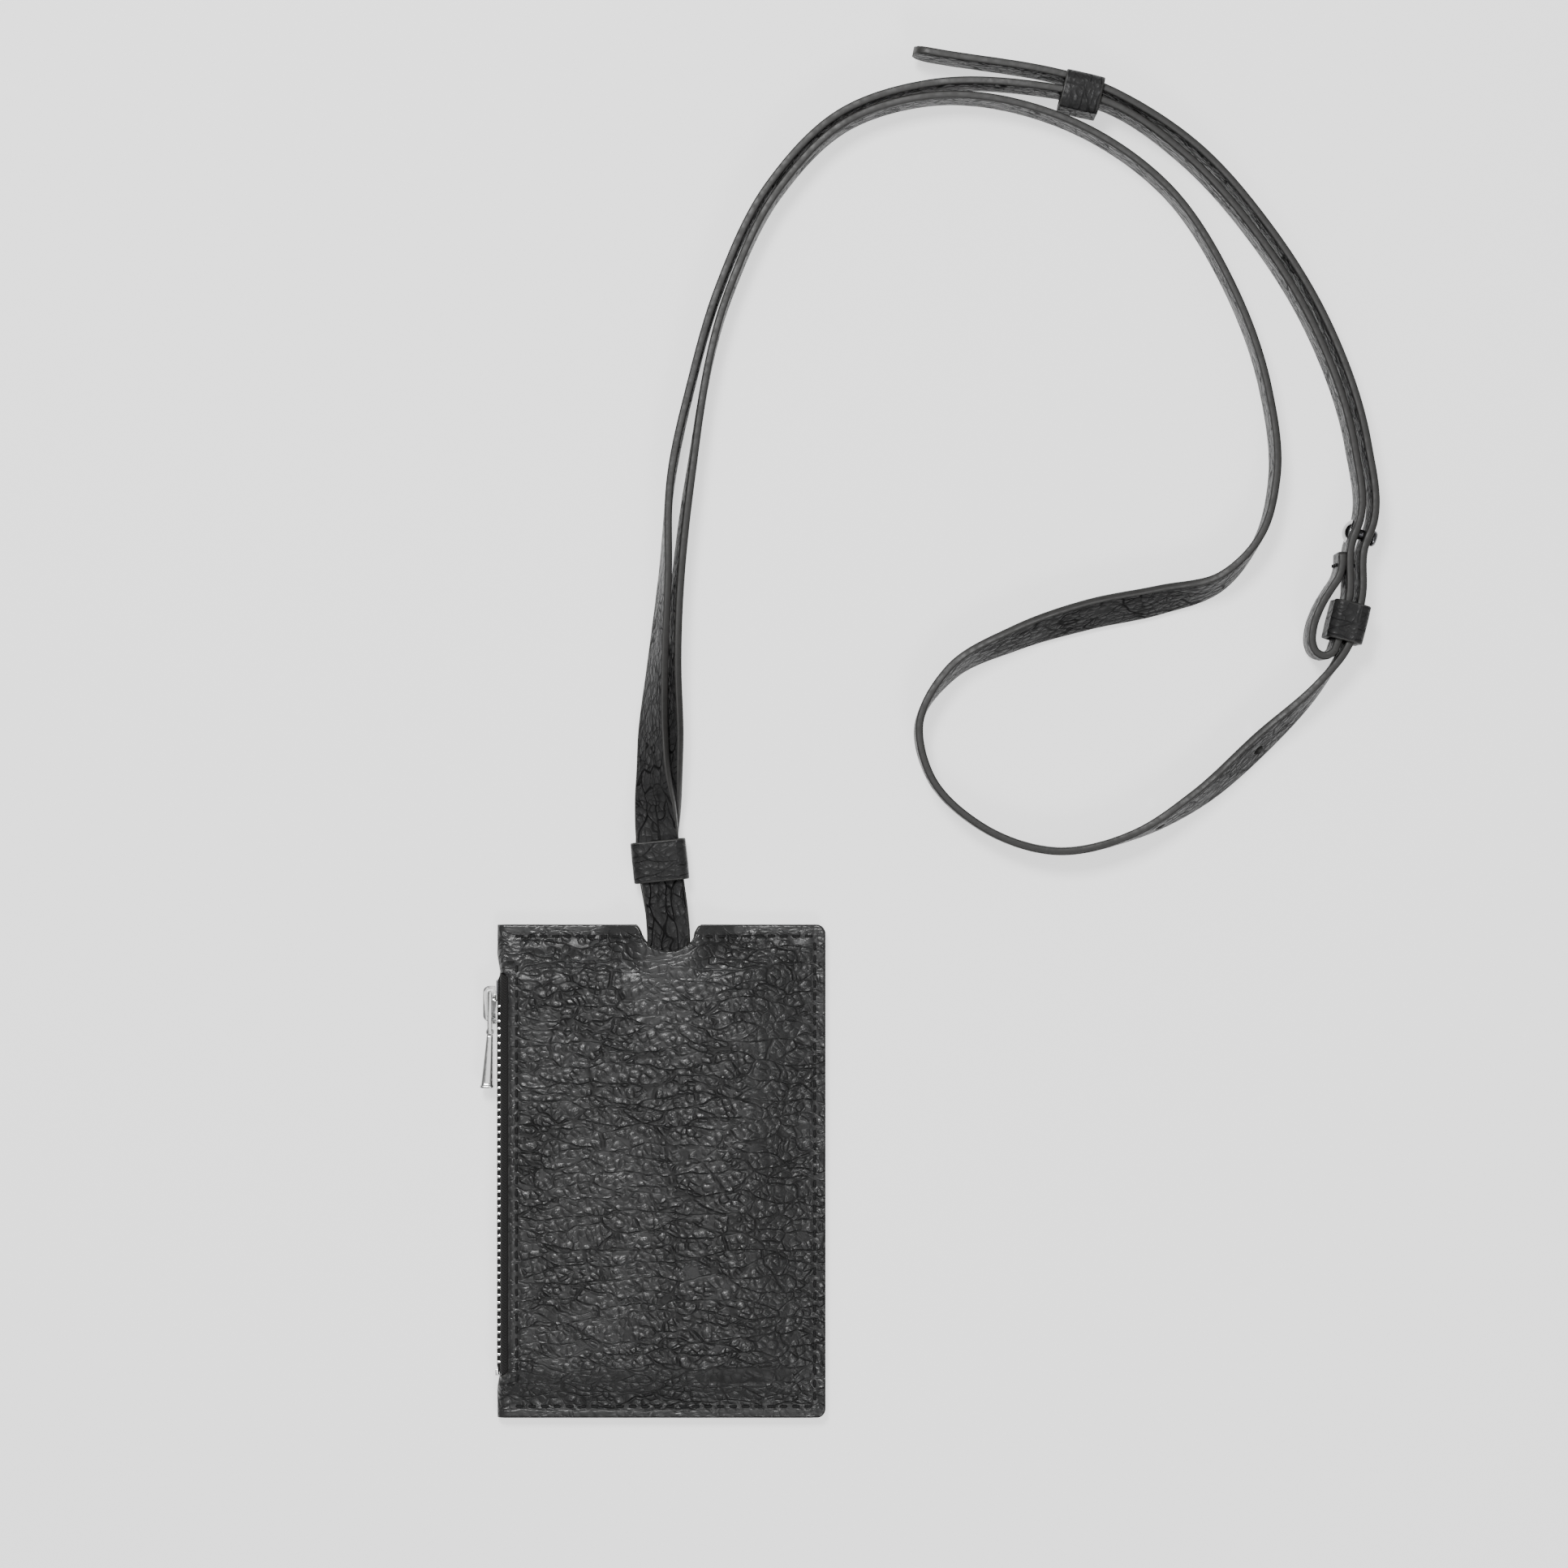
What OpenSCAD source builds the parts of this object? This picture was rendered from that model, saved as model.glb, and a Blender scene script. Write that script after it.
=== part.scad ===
// Neck pouch wallet: a folded leather pouch with a metal zip let into its folded edge,
// hung on one long flat leather strap with three keepers and a collar stud.
// The pouch lies on its back. +Y runs up the pouch towards the strap, +Z out of its front face.
// The origin is the centre of the pouch's back face. Millimetres.

/* [Pouch] */
// Width of the pouch
pouch_w = 80; // [76:1:100]
// Height of the pouch
pouch_h = 120; // [112:1:150]
// Radius of the pouch's outer corners
corner_r = 2.2; // [1:0.1:4]
// Thickness of the outer leather
leather_t = 1.3; // [1:0.1:1.6]
// Thickness of the lining cloth
lining_t = 0.25; // [0.2:0.05:0.4]
// Thickness of the divider between the two compartments
divider_t = 0.7; // [0.5:0.1:1.2]
// Width of the flat sewn band round the pouch
seam_w = 4.5; // [4:0.1:6]
// Width of the front's slope beside the right seam
side_slope_w = 14; // [8:1:18]
// Width of the front's slope beside the top and bottom seams
end_slope_w = 7.5; // [6:0.5:12]
// Radius of the round stretches of the left fold
fold_r = 2.4; // [1.5:0.1:3]

/* [Notch and strap slot] */
// Distance of the notch from the pouch's middle, to the right
notch_x = 1.8; // [-6:0.1:6]
// Width of the notch at the pouch's top edge
notch_w = 15.5; // [14:0.1:20]
// Width of the notch where its sloping sides end
notch_low_w = 11.2; // [9:0.1:13]
// Height of the notch's sloping sides
notch_side_h = 4; // [2:0.1:6]
// Depth of the notch's round floor
notch_h = 6.3; // [5:0.1:9]
// Leather bar between the notch and the strap slot, along the pouch
anchor_bar_h = 7.2; // [6:0.1:12]
// Height of the strap slot in the divider
slot_h = 3.2; // [3:0.1:5]

/* [Zip] */
// Length of the opening in the folded edge
opening_l = 98; // [80:1:100]
// Distance of the opening's middle below the pouch's middle
opening_drop = 0.5; // [0:0.1:3]
// How far the opening is cut into the front and the back
opening_in = 3.1; // [2.6:0.1:4]
// Radius of the opening's corners
opening_r = 1.8; // [1:0.1:2.4]
// Width of one zip tape, measured on the front
tape_w = 10; // [8:0.5:14]
// Thickness of the zip tape
tape_t = 0.5; // [0.4:0.05:0.6]
// Distance from the fold's outer face to the middle of the upright tape
tape_set = 0.75; // [0.6:0.05:1]
// Length of the tape past each end of the opening
tape_over = 5; // [3:0.5:6]
// Distance between teeth on one tape
tooth_pitch = 1.8; // [1.6:0.1:2.2]
// Length of one tooth along the zip
tooth_l = 0.8; // [0.6:0.05:0.85]
// Thickness of one tooth, through the tape
tooth_t = 1.3; // [1.1:0.1:1.5]
// How far a tooth's head reaches past the middle of the chain
tooth_reach = 0.7; // [0.4:0.05:0.9]
// How far a tooth's jaws reach up the tape, from the middle of the chain
tooth_h = 1.6; // [1.4:0.1:1.9]
// Teeth on each tape
tooth_n = 49; // [30:1:50]
// Length of a top stop
top_stop_l = 3.4; // [1.5:0.1:4]
// Length of the bottom stop
bottom_stop_l = 1.6; // [1.2:0.1:3]

/* [Slider and pull] */
// Length of the slider
slider_l = 7.1; // [6:0.1:9]
// Width of the slider's outer wing
slider_w = 6.2; // [5:0.1:7]
// Thickness of a slider wing
wing_t = 0.8; // [0.6:0.1:1]
// Width of the slider's bridge
bridge_w = 1.8; // [1.4:0.1:2.2]
// Thickness of the bridge's metal
bridge_t = 0.8; // [0.6:0.1:1]
// Height of the clear space under the bridge
bridge_gap = 1.6; // [1.3:0.1:2]
// Length of the bridge
bridge_l = 8.6; // [7.5:0.1:10]
// Diameter of the link's cross bars
link_d = 0.9; // [0.7:0.05:1.1]
// Distance between the link's two cross bars
link_l = 9.6; // [8:0.1:12]
// Clear width inside the link
link_in_w = 2.6; // [2.4:0.1:3.4]
// Running clearance of the pull tab's eye on the link's lower bar, on the radius
eye_fit = 0.08; // [0.02:0.01:0.1]
// Length of the pull tab below its eye
tab_l = 13.6; // [10:0.1:20]
// Depth of the pull tab at its eye, away from the pouch
tab_top_d = 1.5; // [1.4:0.1:1.8]
// Depth of the pull tab at its lower end, away from the pouch
tab_low_d = 3.3; // [2:0.1:4]
// Width of the pull tab at its eye
tab_top_w = 2; // [1.6:0.1:2.2]
// Width of the pull tab at its lower end
tab_low_w = 4.2; // [3:0.1:6]

/* [Strap] */
// Width of the strap
strap_w = 10.4; // [8:0.1:10.8]
// Thickness of the strap
strap_t = 2; // [1.6:0.1:2.1]
// Clearance of each strap leg between the divider and the linings
leg_gap = 0.1; // [0.05:0.05:0.2]
// Diameter of the strap's adjusting holes
adjust_hole_d = 2.9; // [2.9:0.1:3.2]
// Distance between the adjusting holes
adjust_pitch = 30; // [25:1:35]
// Adjusting holes below the one that the stud is in
spare_holes = 5; // [0:1:6]

/* [Keepers] */
// Thickness of the keepers' leather
keeper_t = 1.2; // [1:0.1:1.3]
// Clearance of the strap inside a keeper, at each side
keeper_fit = 0.3; // [0.25:0.05:0.5]
// Length of the keeper above the pouch
pouch_keeper_l = 10; // [8:0.5:12]
// Length of the two keepers on the loop
loop_keeper_l = 9.5; // [8:0.5:10]
// Clear width inside the top keeper, across both layers of strap
top_keeper_in_w = 6.9; // [5.6:0.1:7]
// Clear width inside the lower keeper, across both layers of strap
lower_keeper_in_w = 6.6; // [5.8:0.1:7]

/* [Collar stud] */
// Diameter of the domed screw head
dome_d = 5.9; // [4:0.1:7]
// Height of the domed screw head
dome_h = 1.6; // [1:0.1:2.4]
// Diameter of the screw's shank
shank_d = 1.8; // [1.4:0.1:2]
// Diameter of the stud's post
post_d = 2.7; // [2.4:0.1:2.8]
// Diameter of the stud's head
head_d = 3.9; // [3.2:0.1:5]
// Height of the stud's head
head_h = 1.4; // [1:0.1:2]

/* [Stitching] */
// Distance between stitches
stitch_pitch = 3.05; // [2.5:0.05:4]
// Length of one visible stitch
stitch_l = 2; // [1.4:0.1:2.4]
// Thickness of the thread
thread_d = 0.5; // [0.4:0.05:0.6]
// Distance of the right seam from the pouch's edge
side_seam_in = 2.6; // [2:0.1:3]
// Distance of the top and bottom seams from the pouch's edge
end_seam_in = 2.75; // [2:0.1:3]
// Distance of the zip's seam from the opening's edge
zip_seam_in = 2; // [1.6:0.1:2.6]

/* [Pressed mark] */
// Length of the plain pressed bar
mark_l = 21; // [10:1:24]
// Height of the plain pressed bar
mark_h = 4.4; // [3:0.1:6]
// Depth of the plain pressed bar
mark_d = 0.25; // [0.15:0.05:0.4]
// Distance of the bar's right end from the pouch's right edge
mark_side_in = 7.8; // [7:0.1:12]
// Distance of the bar's middle from the pouch's bottom edge
mark_low_in = 10.8; // [8:0.1:20]

/* [Hidden] */
$fn = 48;

// Layers, from the back face up
rise_t = 2 * strap_t + 4 * leg_gap;                       // extra height of the pouch's middle
edge_t = 2 * leather_t + 2 * lining_t + divider_t;        // thickness of the sewn edge
pouch_t = edge_t + rise_t;                                // thickness of the pouch's middle
back_floor = leather_t + lining_t;                        // top of the back lining
back_leg_z = back_floor + leg_gap + strap_t / 2;
front_leg_z = back_leg_z + strap_t + divider_t + 2 * leg_gap;
legs_z = (back_leg_z + front_leg_z) / 2;
zip_z = pouch_t / 2;                                      // height of the middle of the zip chain
far = 200;                                                // longer than any pouch

// Edges of the pouch
left_x = -pouch_w / 2;
right_x = pouch_w / 2;
top_y = pouch_h / 2;
bottom_y = -pouch_h / 2;
tunnel_half = strap_w / 2 + 1.3;                          // half width of the strap's way out at the top
tunnel_slope = 9.5;                                       // width of the slope on each side of it

// Zip, from the fold inwards
opening_top = opening_l / 2 - opening_drop;
opening_bottom = -opening_l / 2 - opening_drop;
opening_x = left_x + opening_in;
tape_x = left_x + tape_set;                               // middle of the upright tape
tape_inner_x = left_x + tape_w + 0.5;
tape_edge = tooth_reach + 0.05;                           // the tape stops this far from the chain's middle
channel = tooth_t + 0.3;                                  // clear space between the slider's wings
slider_top = opening_top - 5.4;
slider_bottom = slider_top - slider_l;
stop_gap = 0.15;
tooth_top = slider_top - 2.4;
wing_x = tape_x - channel / 2 - wing_t;                   // outer face of the slider's outer wing
bridge_x = wing_x - bridge_gap;                           // inner face of the bridge's crown
link_x = wing_x - bridge_gap / 2;
link_y = slider_top + 0.5;
tab_y = link_y - link_l;

// Seams
seam_left_x = opening_x + zip_seam_in;
seam_right_x = right_x - side_seam_in;
seam_top_y = top_y - end_seam_in;
seam_bottom_y = bottom_y + end_seam_in;

// Strap anchor
notch_floor_y = top_y - notch_h;
anchor_y = notch_floor_y - anchor_bar_h;                  // lower edge of the bar the strap turns round

// Everything on the strap is placed from the middle of the pouch's top edge, on the table
strap_from = [0, top_y, 0];
lie_z = strap_w / 2;                                      // middle of a strap that stands on its edge
lean_z = lie_z + 0.1;                                     // and of one that leans a little
kept_z = (strap_w + keeper_fit) / 2 + keeper_t + 0.05;    // middle of a strap inside a keeper

// Keepers: the middle, and the turn about Z of the strap there
pouch_keeper_at = [-0.3, 15.6, legs_z];
pouch_keeper_turn = 5.8;
top_keeper_at = [101.9, 201.5, kept_z];
top_keeper_turn = 76.9;
lower_keeper_at = [166.3, 73.5, kept_z];
lower_keeper_turn = -14;

// Collar stud: the middle of the inner layer of strap, and the turn of its axis from +X
stud_at = [168.05, 95.35, kept_z - 0.25];
stud_turn = -17.6;
layer_step = 3.3;                                         // inner layer to outer layer, along the stud
stud_hole_clear = 0.06;
punch_h = strap_t + 1.2;                                  // a hole's punch goes through the strap

// End of the strap, sewn back on itself
tack_at = [165.7, 87.2, kept_z - 0.1];
tack_turn = -3;

// Routes: x, y, z, and the lean of the strap's width from upright, towards the left of the run.
// The short leg leaves the anchor, goes up the outer side of the loop, through the top keeper and
// the lower keeper, and turns back to its sewn end.
short_route = [
    [notch_x, anchor_y - top_y, front_leg_z, -90], [notch_x, -2, front_leg_z, -90],
    [-1, 22.5, front_leg_z, -88], [-1.3, 28.5, 5.8, -72], [-1.7, 35, 6.1, -52], [-1.9, 47, 5.5, -38],
    [-1, 61, lean_z, -25], [1, 85, lean_z, -11],
    [2.4, 108, lie_z, 0], [7.2, 130.8, lie_z, 0], [14.1, 154.4, lie_z, 0], [26.5, 179.6, lie_z, 0],
    [43.6, 196.7, lie_z, 0], [65.5, 203.8, lie_z, 0], [87, 203.5, kept_z, 0],
    [110, 198.2, kept_z, 0], [126.8, 186.7, 5.8, 0], [144.3, 167.4, lie_z, 0],
    [158.5, 144.2, lie_z, 0], [167.8, 116, 5.8, 0], [169.1, 98.4, 6.3, 0], [167, 92.3, 6.4, 0],
    [166.4, 79.7, kept_z, 0], [163.5, 68.3, kept_z, 0], [162.6, 66.2, kept_z, 0],
    [160.5, 65.3, kept_z, 0], [158.4, 66.2, kept_z, 0], [157.5, 68.3, kept_z, 0],
    [157.6, 71.5, kept_z, 0], [159, 76, kept_z, 0], [161.9, 81.2, kept_z, 0],
    [163.7, 83.9, kept_z, 0], [164.6, 86.5, 6.5, 0], [164.8, 90.2, 6.4, 0]];

// The long leg goes from the anchor up the inner side of the loop, round the inner curl, up through
// the lower keeper, over the stud and back along the loop's outer side to its free end.
long_route = [
    [notch_x, anchor_y - top_y, back_leg_z, -90], [notch_x, -2, back_leg_z, -90],
    [-1, 22.5, back_leg_z, -88], [-0.2, 28.5, 2.9, -72], [0.8, 35, 4.1, -52], [1.9, 47, 4.9, -37],
    [2.5, 61, lie_z, -22], [7, 108, lean_z, -6], [16.5, 153.5, lie_z, 0], [28.5, 178, lie_z, 0],
    [45, 194.5, lie_z, 0], [66, 200.8, lie_z, 0], [94.5, 196.6, lie_z, 0], [123, 178.5, lie_z, 0],
    [138, 155.5, lie_z, 0], [147, 130, lie_z, 0], [149, 108, lie_z, 0], [145.5, 94.5, lean_z, -3],
    [136, 83.5, lean_z, -17], [121, 79, lie_z, -33], [104, 75.5, lie_z, -35], [86, 69.7, lie_z, -26],
    [70.5, 61.5, lean_z, -13], [62.7, 49, lie_z, 0], [65.5, 36, lie_z, 0], [77, 24.5, lie_z, 0],
    [96, 18, lie_z, 0], [115, 22, lean_z, 6], [130, 30.5, lie_z, 21], [146, 44.5, lie_z, 27],
    [160, 58.5, 5.6, 10], [165.8, 67, kept_z, 0], [169.5, 79.7, kept_z, 0], [170.1, 91.3, 6.4, 0],
    [172.3, 97.4, 6.3, 0], [171, 116.5, 5.8, 0], [161.5, 145.5, lie_z, 0], [147, 169.3, lie_z, 0],
    [129, 189.2, 5.8, 0], [110.5, 201, kept_z, 0], [61.2, 212, kept_z, 0]];

leather_black = [0.13, 0.13, 0.135];
strap_black = [0.11, 0.11, 0.115];
cloth_black = [0.07, 0.07, 0.075];
thread_black = [0.03, 0.03, 0.03];
bright_metal = [0.8, 0.8, 0.82];
dark_metal = [0.25, 0.25, 0.26];

// ---- Shapes ----

// A rectangle with round corners, its middle at the origin
module round_rect(w, h, r) {
    square([w - 2 * r, h], center = true);
    square([w, h - 2 * r], center = true);
    for (sx = [-1, 1], sy = [-1, 1])
        translate([sx * (w / 2 - r), sy * (h / 2 - r)]) circle(r);
}

// Height of the pouch's front above a level edge, as a share of its full rise
function slope(d, w) = min(max(d / w, 0), 1);
function rise_at(x, y) =
    min(slope(right_x - seam_w - x, side_slope_w),
        max(slope(top_y - seam_w - abs(y), end_slope_w),
            y > 0 ? slope(tunnel_half + tunnel_slope - abs(x - notch_x), tunnel_slope) : 0));
function front_z(x, y) = edge_t + rise_t * rise_at(x, y);

// Everything below the pouch's front when its sewn edge is edge_z high and its middle rises by rise.
// A section across the pouch and a section along it are crossed, and the strap's way out is added.
module under_front(edge_z, rise) {
    intersection() {
        rotate([90, 0, 0]) linear_extrude(2 * far, center = true) polygon([
            [-far, 0], [far, 0], [far, edge_z], [right_x - seam_w, edge_z],
            [right_x - seam_w - side_slope_w, edge_z + rise], [-far, edge_z + rise]]);
        union() {
            rotate([90, 0, 90]) linear_extrude(2 * far, center = true) polygon([
                [-far, 0], [far, 0], [far, edge_z], [top_y - seam_w, edge_z],
                [top_y - seam_w - end_slope_w, edge_z + rise],
                [bottom_y + seam_w + end_slope_w, edge_z + rise],
                [bottom_y + seam_w, edge_z], [-far, edge_z]]);
            translate([notch_x, far, 0]) rotate([90, 0, 0]) linear_extrude(far) polygon([
                [-tunnel_half - tunnel_slope, 0], [tunnel_half + tunnel_slope, 0],
                [tunnel_half + tunnel_slope, edge_z], [tunnel_half, edge_z + rise],
                [-tunnel_half, edge_z + rise], [-tunnel_half - tunnel_slope, edge_z]]);
        }
    }
}

// A layer that hangs a thickness t below the front, its top a depth d below it
module layer_under_front(d, t, rise) {
    difference() {
        under_front(edge_t - d, rise);
        under_front(edge_t - d - t, rise);
    }
}

// The outline of the pouch, as a tall block
module pouch_block() {
    translate([0, 0, -1]) linear_extrude(pouch_t + 2) round_rect(pouch_w, pouch_h, corner_r);
}

// The notch, through every layer
module notch() {
    arc_r = (pow(notch_low_w / 2, 2) + pow(notch_h - notch_side_h, 2)) / (2 * (notch_h - notch_side_h));
    translate([notch_x, top_y, -1]) linear_extrude(pouch_t + 2) {
        polygon([[-notch_w / 2 - 1, 1], [-notch_w / 2, 0], [-notch_low_w / 2, -notch_side_h],
                 [notch_low_w / 2, -notch_side_h], [notch_w / 2, 0], [notch_w / 2 + 1, 1]]);
        intersection() {
            translate([0, arc_r - notch_h]) circle(arc_r, $fn = 96);
            translate([-notch_low_w / 2, -notch_h - 1]) square([notch_low_w, notch_h - notch_side_h + 1]);
        }
    }
}

// ---- Pouch ----

// One piece of leather, folded at the left, with the zip's opening cut across the fold
module outer_leather() {
    color(leather_black) difference() {
        intersection() {
            under_front(edge_t, rise_t);
            pouch_block();
            fold_round();
        }
        difference() {
            under_front(edge_t - leather_t, rise_t);
            translate([-far, -far, -1]) cube([2 * far, 2 * far, leather_t + 1]);
            translate([left_x - far + leather_t, -far, -1]) cube([far, 2 * far, pouch_t + 2]);
        }
        notch();
        translate([left_x, -opening_drop, -1]) linear_extrude(pouch_t + 2)
            round_rect(2 * opening_in, opening_l, opening_r);
        intersection() {
            layer_under_front(0, mark_d, rise_t);
            translate([right_x - mark_side_in - mark_l / 2, bottom_y + mark_low_in, edge_t - leather_t])
                linear_extrude(pouch_t) round_rect(mark_l, mark_h, 1);
        }
    }
}

// A block whose left edges are rounded like the fold
module fold_round() {
    rotate([90, 0, 0]) linear_extrude(2 * far, center = true) {
        translate([left_x + fold_r, 0]) square([far, pouch_t]);
        translate([left_x, fold_r]) square([far, pouch_t - 2 * fold_r]);
        for (z = [fold_r, pouch_t - fold_r]) translate([left_x + fold_r, z]) circle(fold_r);
    }
}

// Cloth under the front leather, from the zip tape to the seams
module front_lining() {
    color(cloth_black) difference() {
        intersection() {
            layer_under_front(leather_t, lining_t, rise_t);
            pouch_block();
            translate([tape_inner_x, -far, back_floor]) cube([far, 2 * far, pouch_t]);
        }
        notch();
    }
}

// Cloth on the back leather
module back_lining() {
    color(cloth_black) difference() {
        intersection() {
            translate([tape_inner_x, -far, leather_t]) cube([far, 2 * far, lining_t]);
            pouch_block();
        }
        notch();
    }
}

// Leather between the two compartments, sewn in at the top, right and bottom, with the strap's slot
module divider() {
    mid_rise = rise_t / 2;
    color(leather_black) difference() {
        intersection() {
            difference() {
                under_front(back_floor + divider_t, mid_rise);
                under_front(back_floor, mid_rise);
            }
            pouch_block();
            translate([tape_inner_x, -far, 0]) cube([far, 2 * far, pouch_t]);
        }
        notch();
        translate([notch_x, anchor_y - slot_h / 2, 0]) linear_extrude(pouch_t)
            round_rect(strap_w + 1.2, slot_h, 0.4);
    }
}

// ---- Zip ----

// Blocks that hold one tape: under the leather, in the opening, and upright in the opening
module tape_blocks() {
    over = opening_l + 2 * tape_over;
    inside_x = left_x + leather_t + 0.1;
    shown_l = opening_l - 0.1;
    translate([inside_x, -opening_drop - over / 2, 0]) cube([tape_inner_x - inside_x, over, pouch_t]);
    translate([tape_x - tape_t / 2, -opening_drop - shown_l / 2, 0])
        cube([tape_inner_x - tape_x, shown_l, pouch_t]);
}

// The front tape: it lies under the front leather and turns down into the opening
module zip_tape_front() {
    color(cloth_black) difference() {
        intersection() {
            difference() {
                under_front(edge_t - leather_t, rise_t);
                difference() {
                    under_front(edge_t - leather_t - tape_t, rise_t);
                    translate([-far, -far, 0]) cube([far + tape_x + tape_t / 2, 2 * far, pouch_t]);
                }
            }
            tape_blocks();
            translate([-far, -far, zip_z + tape_edge]) cube([2 * far, 2 * far, pouch_t]);
        }
        tape_corner();
    }
    color(cloth_black) tape_end_strips();
}

// The round outer corner where a tape turns from flat to upright
module tape_corner() {
    r = 0.9;
    z = pouch_t - leather_t;
    translate([tape_x - tape_t / 2, far, 0]) rotate([90, 0, 0]) linear_extrude(2 * far) difference() {
        translate([-1, z - r]) square([r + 1, r + 1]);
        translate([r, z - r]) circle(r);
    }
}

// The front tape's two ends, which follow the front down to the seams
module tape_end_strips() {
    intersection() {
        layer_under_front(leather_t, tape_t, rise_t);
        tape_blocks();
        translate([left_x + leather_t + 0.1, -far, back_floor + divider_t]) cube([far, 2 * far, pouch_t]);
    }
}

// The back tape: flat on the back leather, then upright in the opening
module zip_tape_back() {
    z0 = leather_t;
    color(cloth_black) intersection() {
        union() {
            translate([-far, -far, z0]) cube([2 * far, 2 * far, tape_t]);
            translate([-far, -opening_drop - opening_l / 2, z0])
                cube([far + tape_x + tape_t / 2, opening_l, zip_z - tape_edge - z0]);
        }
        tape_blocks();
    }
}

// One row of teeth: a head that meshes past the middle of the chain and jaws that grip the tape
module teeth(side, shift) {
    for (i = [0 : tooth_n - 1])
        translate([tape_x, tooth_top - shift - i * tooth_pitch, zip_z]) mirror([0, 0, side < 0 ? 1 : 0])
            difference() {
                translate([-tooth_t / 2, -tooth_l, -tooth_reach])
                    cube([tooth_t, tooth_l, tooth_h + tooth_reach]);
                translate([-tape_t / 2, -tooth_l - 1, tape_edge]) cube([tape_t, tooth_l + 2, tooth_h]);
            }
}

module zip_teeth_front() { color(bright_metal) teeth(1, 0); }
module zip_teeth_back() { color(bright_metal) teeth(-1, tooth_pitch / 2); }

// A stop clamped on one tape, above the slider
module zip_top_stops() {
    stop_t = channel - 0.1;
    stop_low = tape_edge - 0.5;                           // it grips the tape's edge past its corner
    stop_high = tooth_h + 0.1;
    color(dark_metal) for (side = [0, 1])
        translate([tape_x, slider_top + stop_gap, zip_z]) mirror([0, 0, side]) difference() {
            translate([-stop_t / 2, 0, stop_low]) cube([stop_t, top_stop_l, stop_high - stop_low]);
            translate([-tape_t / 2, -1, tape_edge]) cube([tape_t, top_stop_l + 2, tooth_h]);
        }
}

// The stop across both tapes, at the bottom of the chain
module zip_bottom_stop() {
    stop_t = channel + 0.4;
    stop_y = tooth_top - tooth_n * tooth_pitch - 0.3;
    color(bright_metal) translate([tape_x, stop_y - bottom_stop_l, zip_z]) difference() {
        translate([-stop_t / 2, 0, -tooth_h]) cube([stop_t, bottom_stop_l, 2 * tooth_h]);
        for (side = [0, 1]) mirror([0, 0, side])
            translate([-tape_t / 2, -1, tape_edge]) cube([tape_t, bottom_stop_l + 2, tooth_h]);
    }
}

// The slider: two wings, the post that parts the teeth, a rim, and the bridge that holds the link
module zip_slider() {
    inner_w = 2 * (pouch_t - leather_t - tape_t - zip_z) - 0.4;
    bridge_past = 2.1;                                    // the bridge reaches past the wing by this
    bridge_y = slider_top + bridge_past - bridge_l;
    post_l = 1.6;
    post_w = 1.2;                                         // it passes between the edges of the tapes
    rim_w = 0.9;
    rim_h = channel / 2 - tape_t / 2 - 0.1;               // it stops short of the tape
    rim_l = slider_l - 2.1;
    root_l = 2.5;                                         // where the bridge joins the wing
    bridge_corner = 1.5;
    inner_corner = 0.8;
    color(bright_metal) {
        translate([wing_x, slider_bottom, zip_z]) rotate([90, 0, 90]) linear_extrude(wing_t)
            wing_side(slider_w);
        translate([tape_x + channel / 2, slider_bottom, zip_z]) rotate([90, 0, 90]) linear_extrude(wing_t)
            wing_side(inner_w);
        translate([wing_x + wing_t, slider_top - post_l, zip_z - post_w / 2])
            cube([channel, post_l, post_w]);
        for (side = [0, 1]) translate([wing_x + wing_t, slider_bottom + 0.7, zip_z]) mirror([0, 0, side])
            translate([0, 0, slider_w / 2 - rim_w]) cube([rim_h, rim_l, rim_w]);
        translate([0, 0, zip_z - bridge_w / 2]) linear_extrude(bridge_w) difference() {
            translate([bridge_x - bridge_t, bridge_y])
                bridge_outline(bridge_gap + bridge_t, bridge_l, bridge_corner);
            translate([bridge_x, bridge_y + bridge_t])
                bridge_outline(bridge_gap, bridge_l - 2 * bridge_t, inner_corner);
        }
        translate([wing_x, slider_top - 0.4, zip_z - bridge_w / 2]) cube([wing_t - 0.3, root_l, bridge_w]);
    }
}

// A wing's outline laid along the zip
module wing_side(w) {
    translate([slider_l / 2, 0]) {
        square([slider_l - 1.8, w * 0.8], center = true);
        translate([0.6, 0]) round_rect(slider_l - 1.2, w, 1.5);
        round_rect(slider_l, w * 0.72, 0.9);
    }
}

// Half of a round-cornered frame that stands on the wing, from its lower outer corner
module bridge_outline(w, l, r) {
    translate([r, 0]) square([w - r, l]);
    translate([0, r]) square([w, l - 2 * r]);
    for (y = [r, l - r]) translate([r, y]) circle(r);
}

// The link: two bars beside the bridge, a cross bar under the bridge and one in the pull's eye
module pull_link() {
    bar_z = link_in_w / 2 + link_d / 2;
    color(bright_metal) translate([link_x, 0, zip_z]) {
        for (y = [link_y, tab_y]) translate([0, y, 0])
            cylinder(d = link_d, h = link_in_w + link_d, center = true);
        for (s = [-1, 1]) translate([0, 0, s * bar_z]) {
            for (y = [link_y, tab_y]) translate([0, y, 0]) cylinder(d = link_d, h = link_d, center = true);
            translate([-link_d / 2, tab_y, -link_d / 2]) cube([link_d, link_l, link_d]);
        }
    }
}

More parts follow.
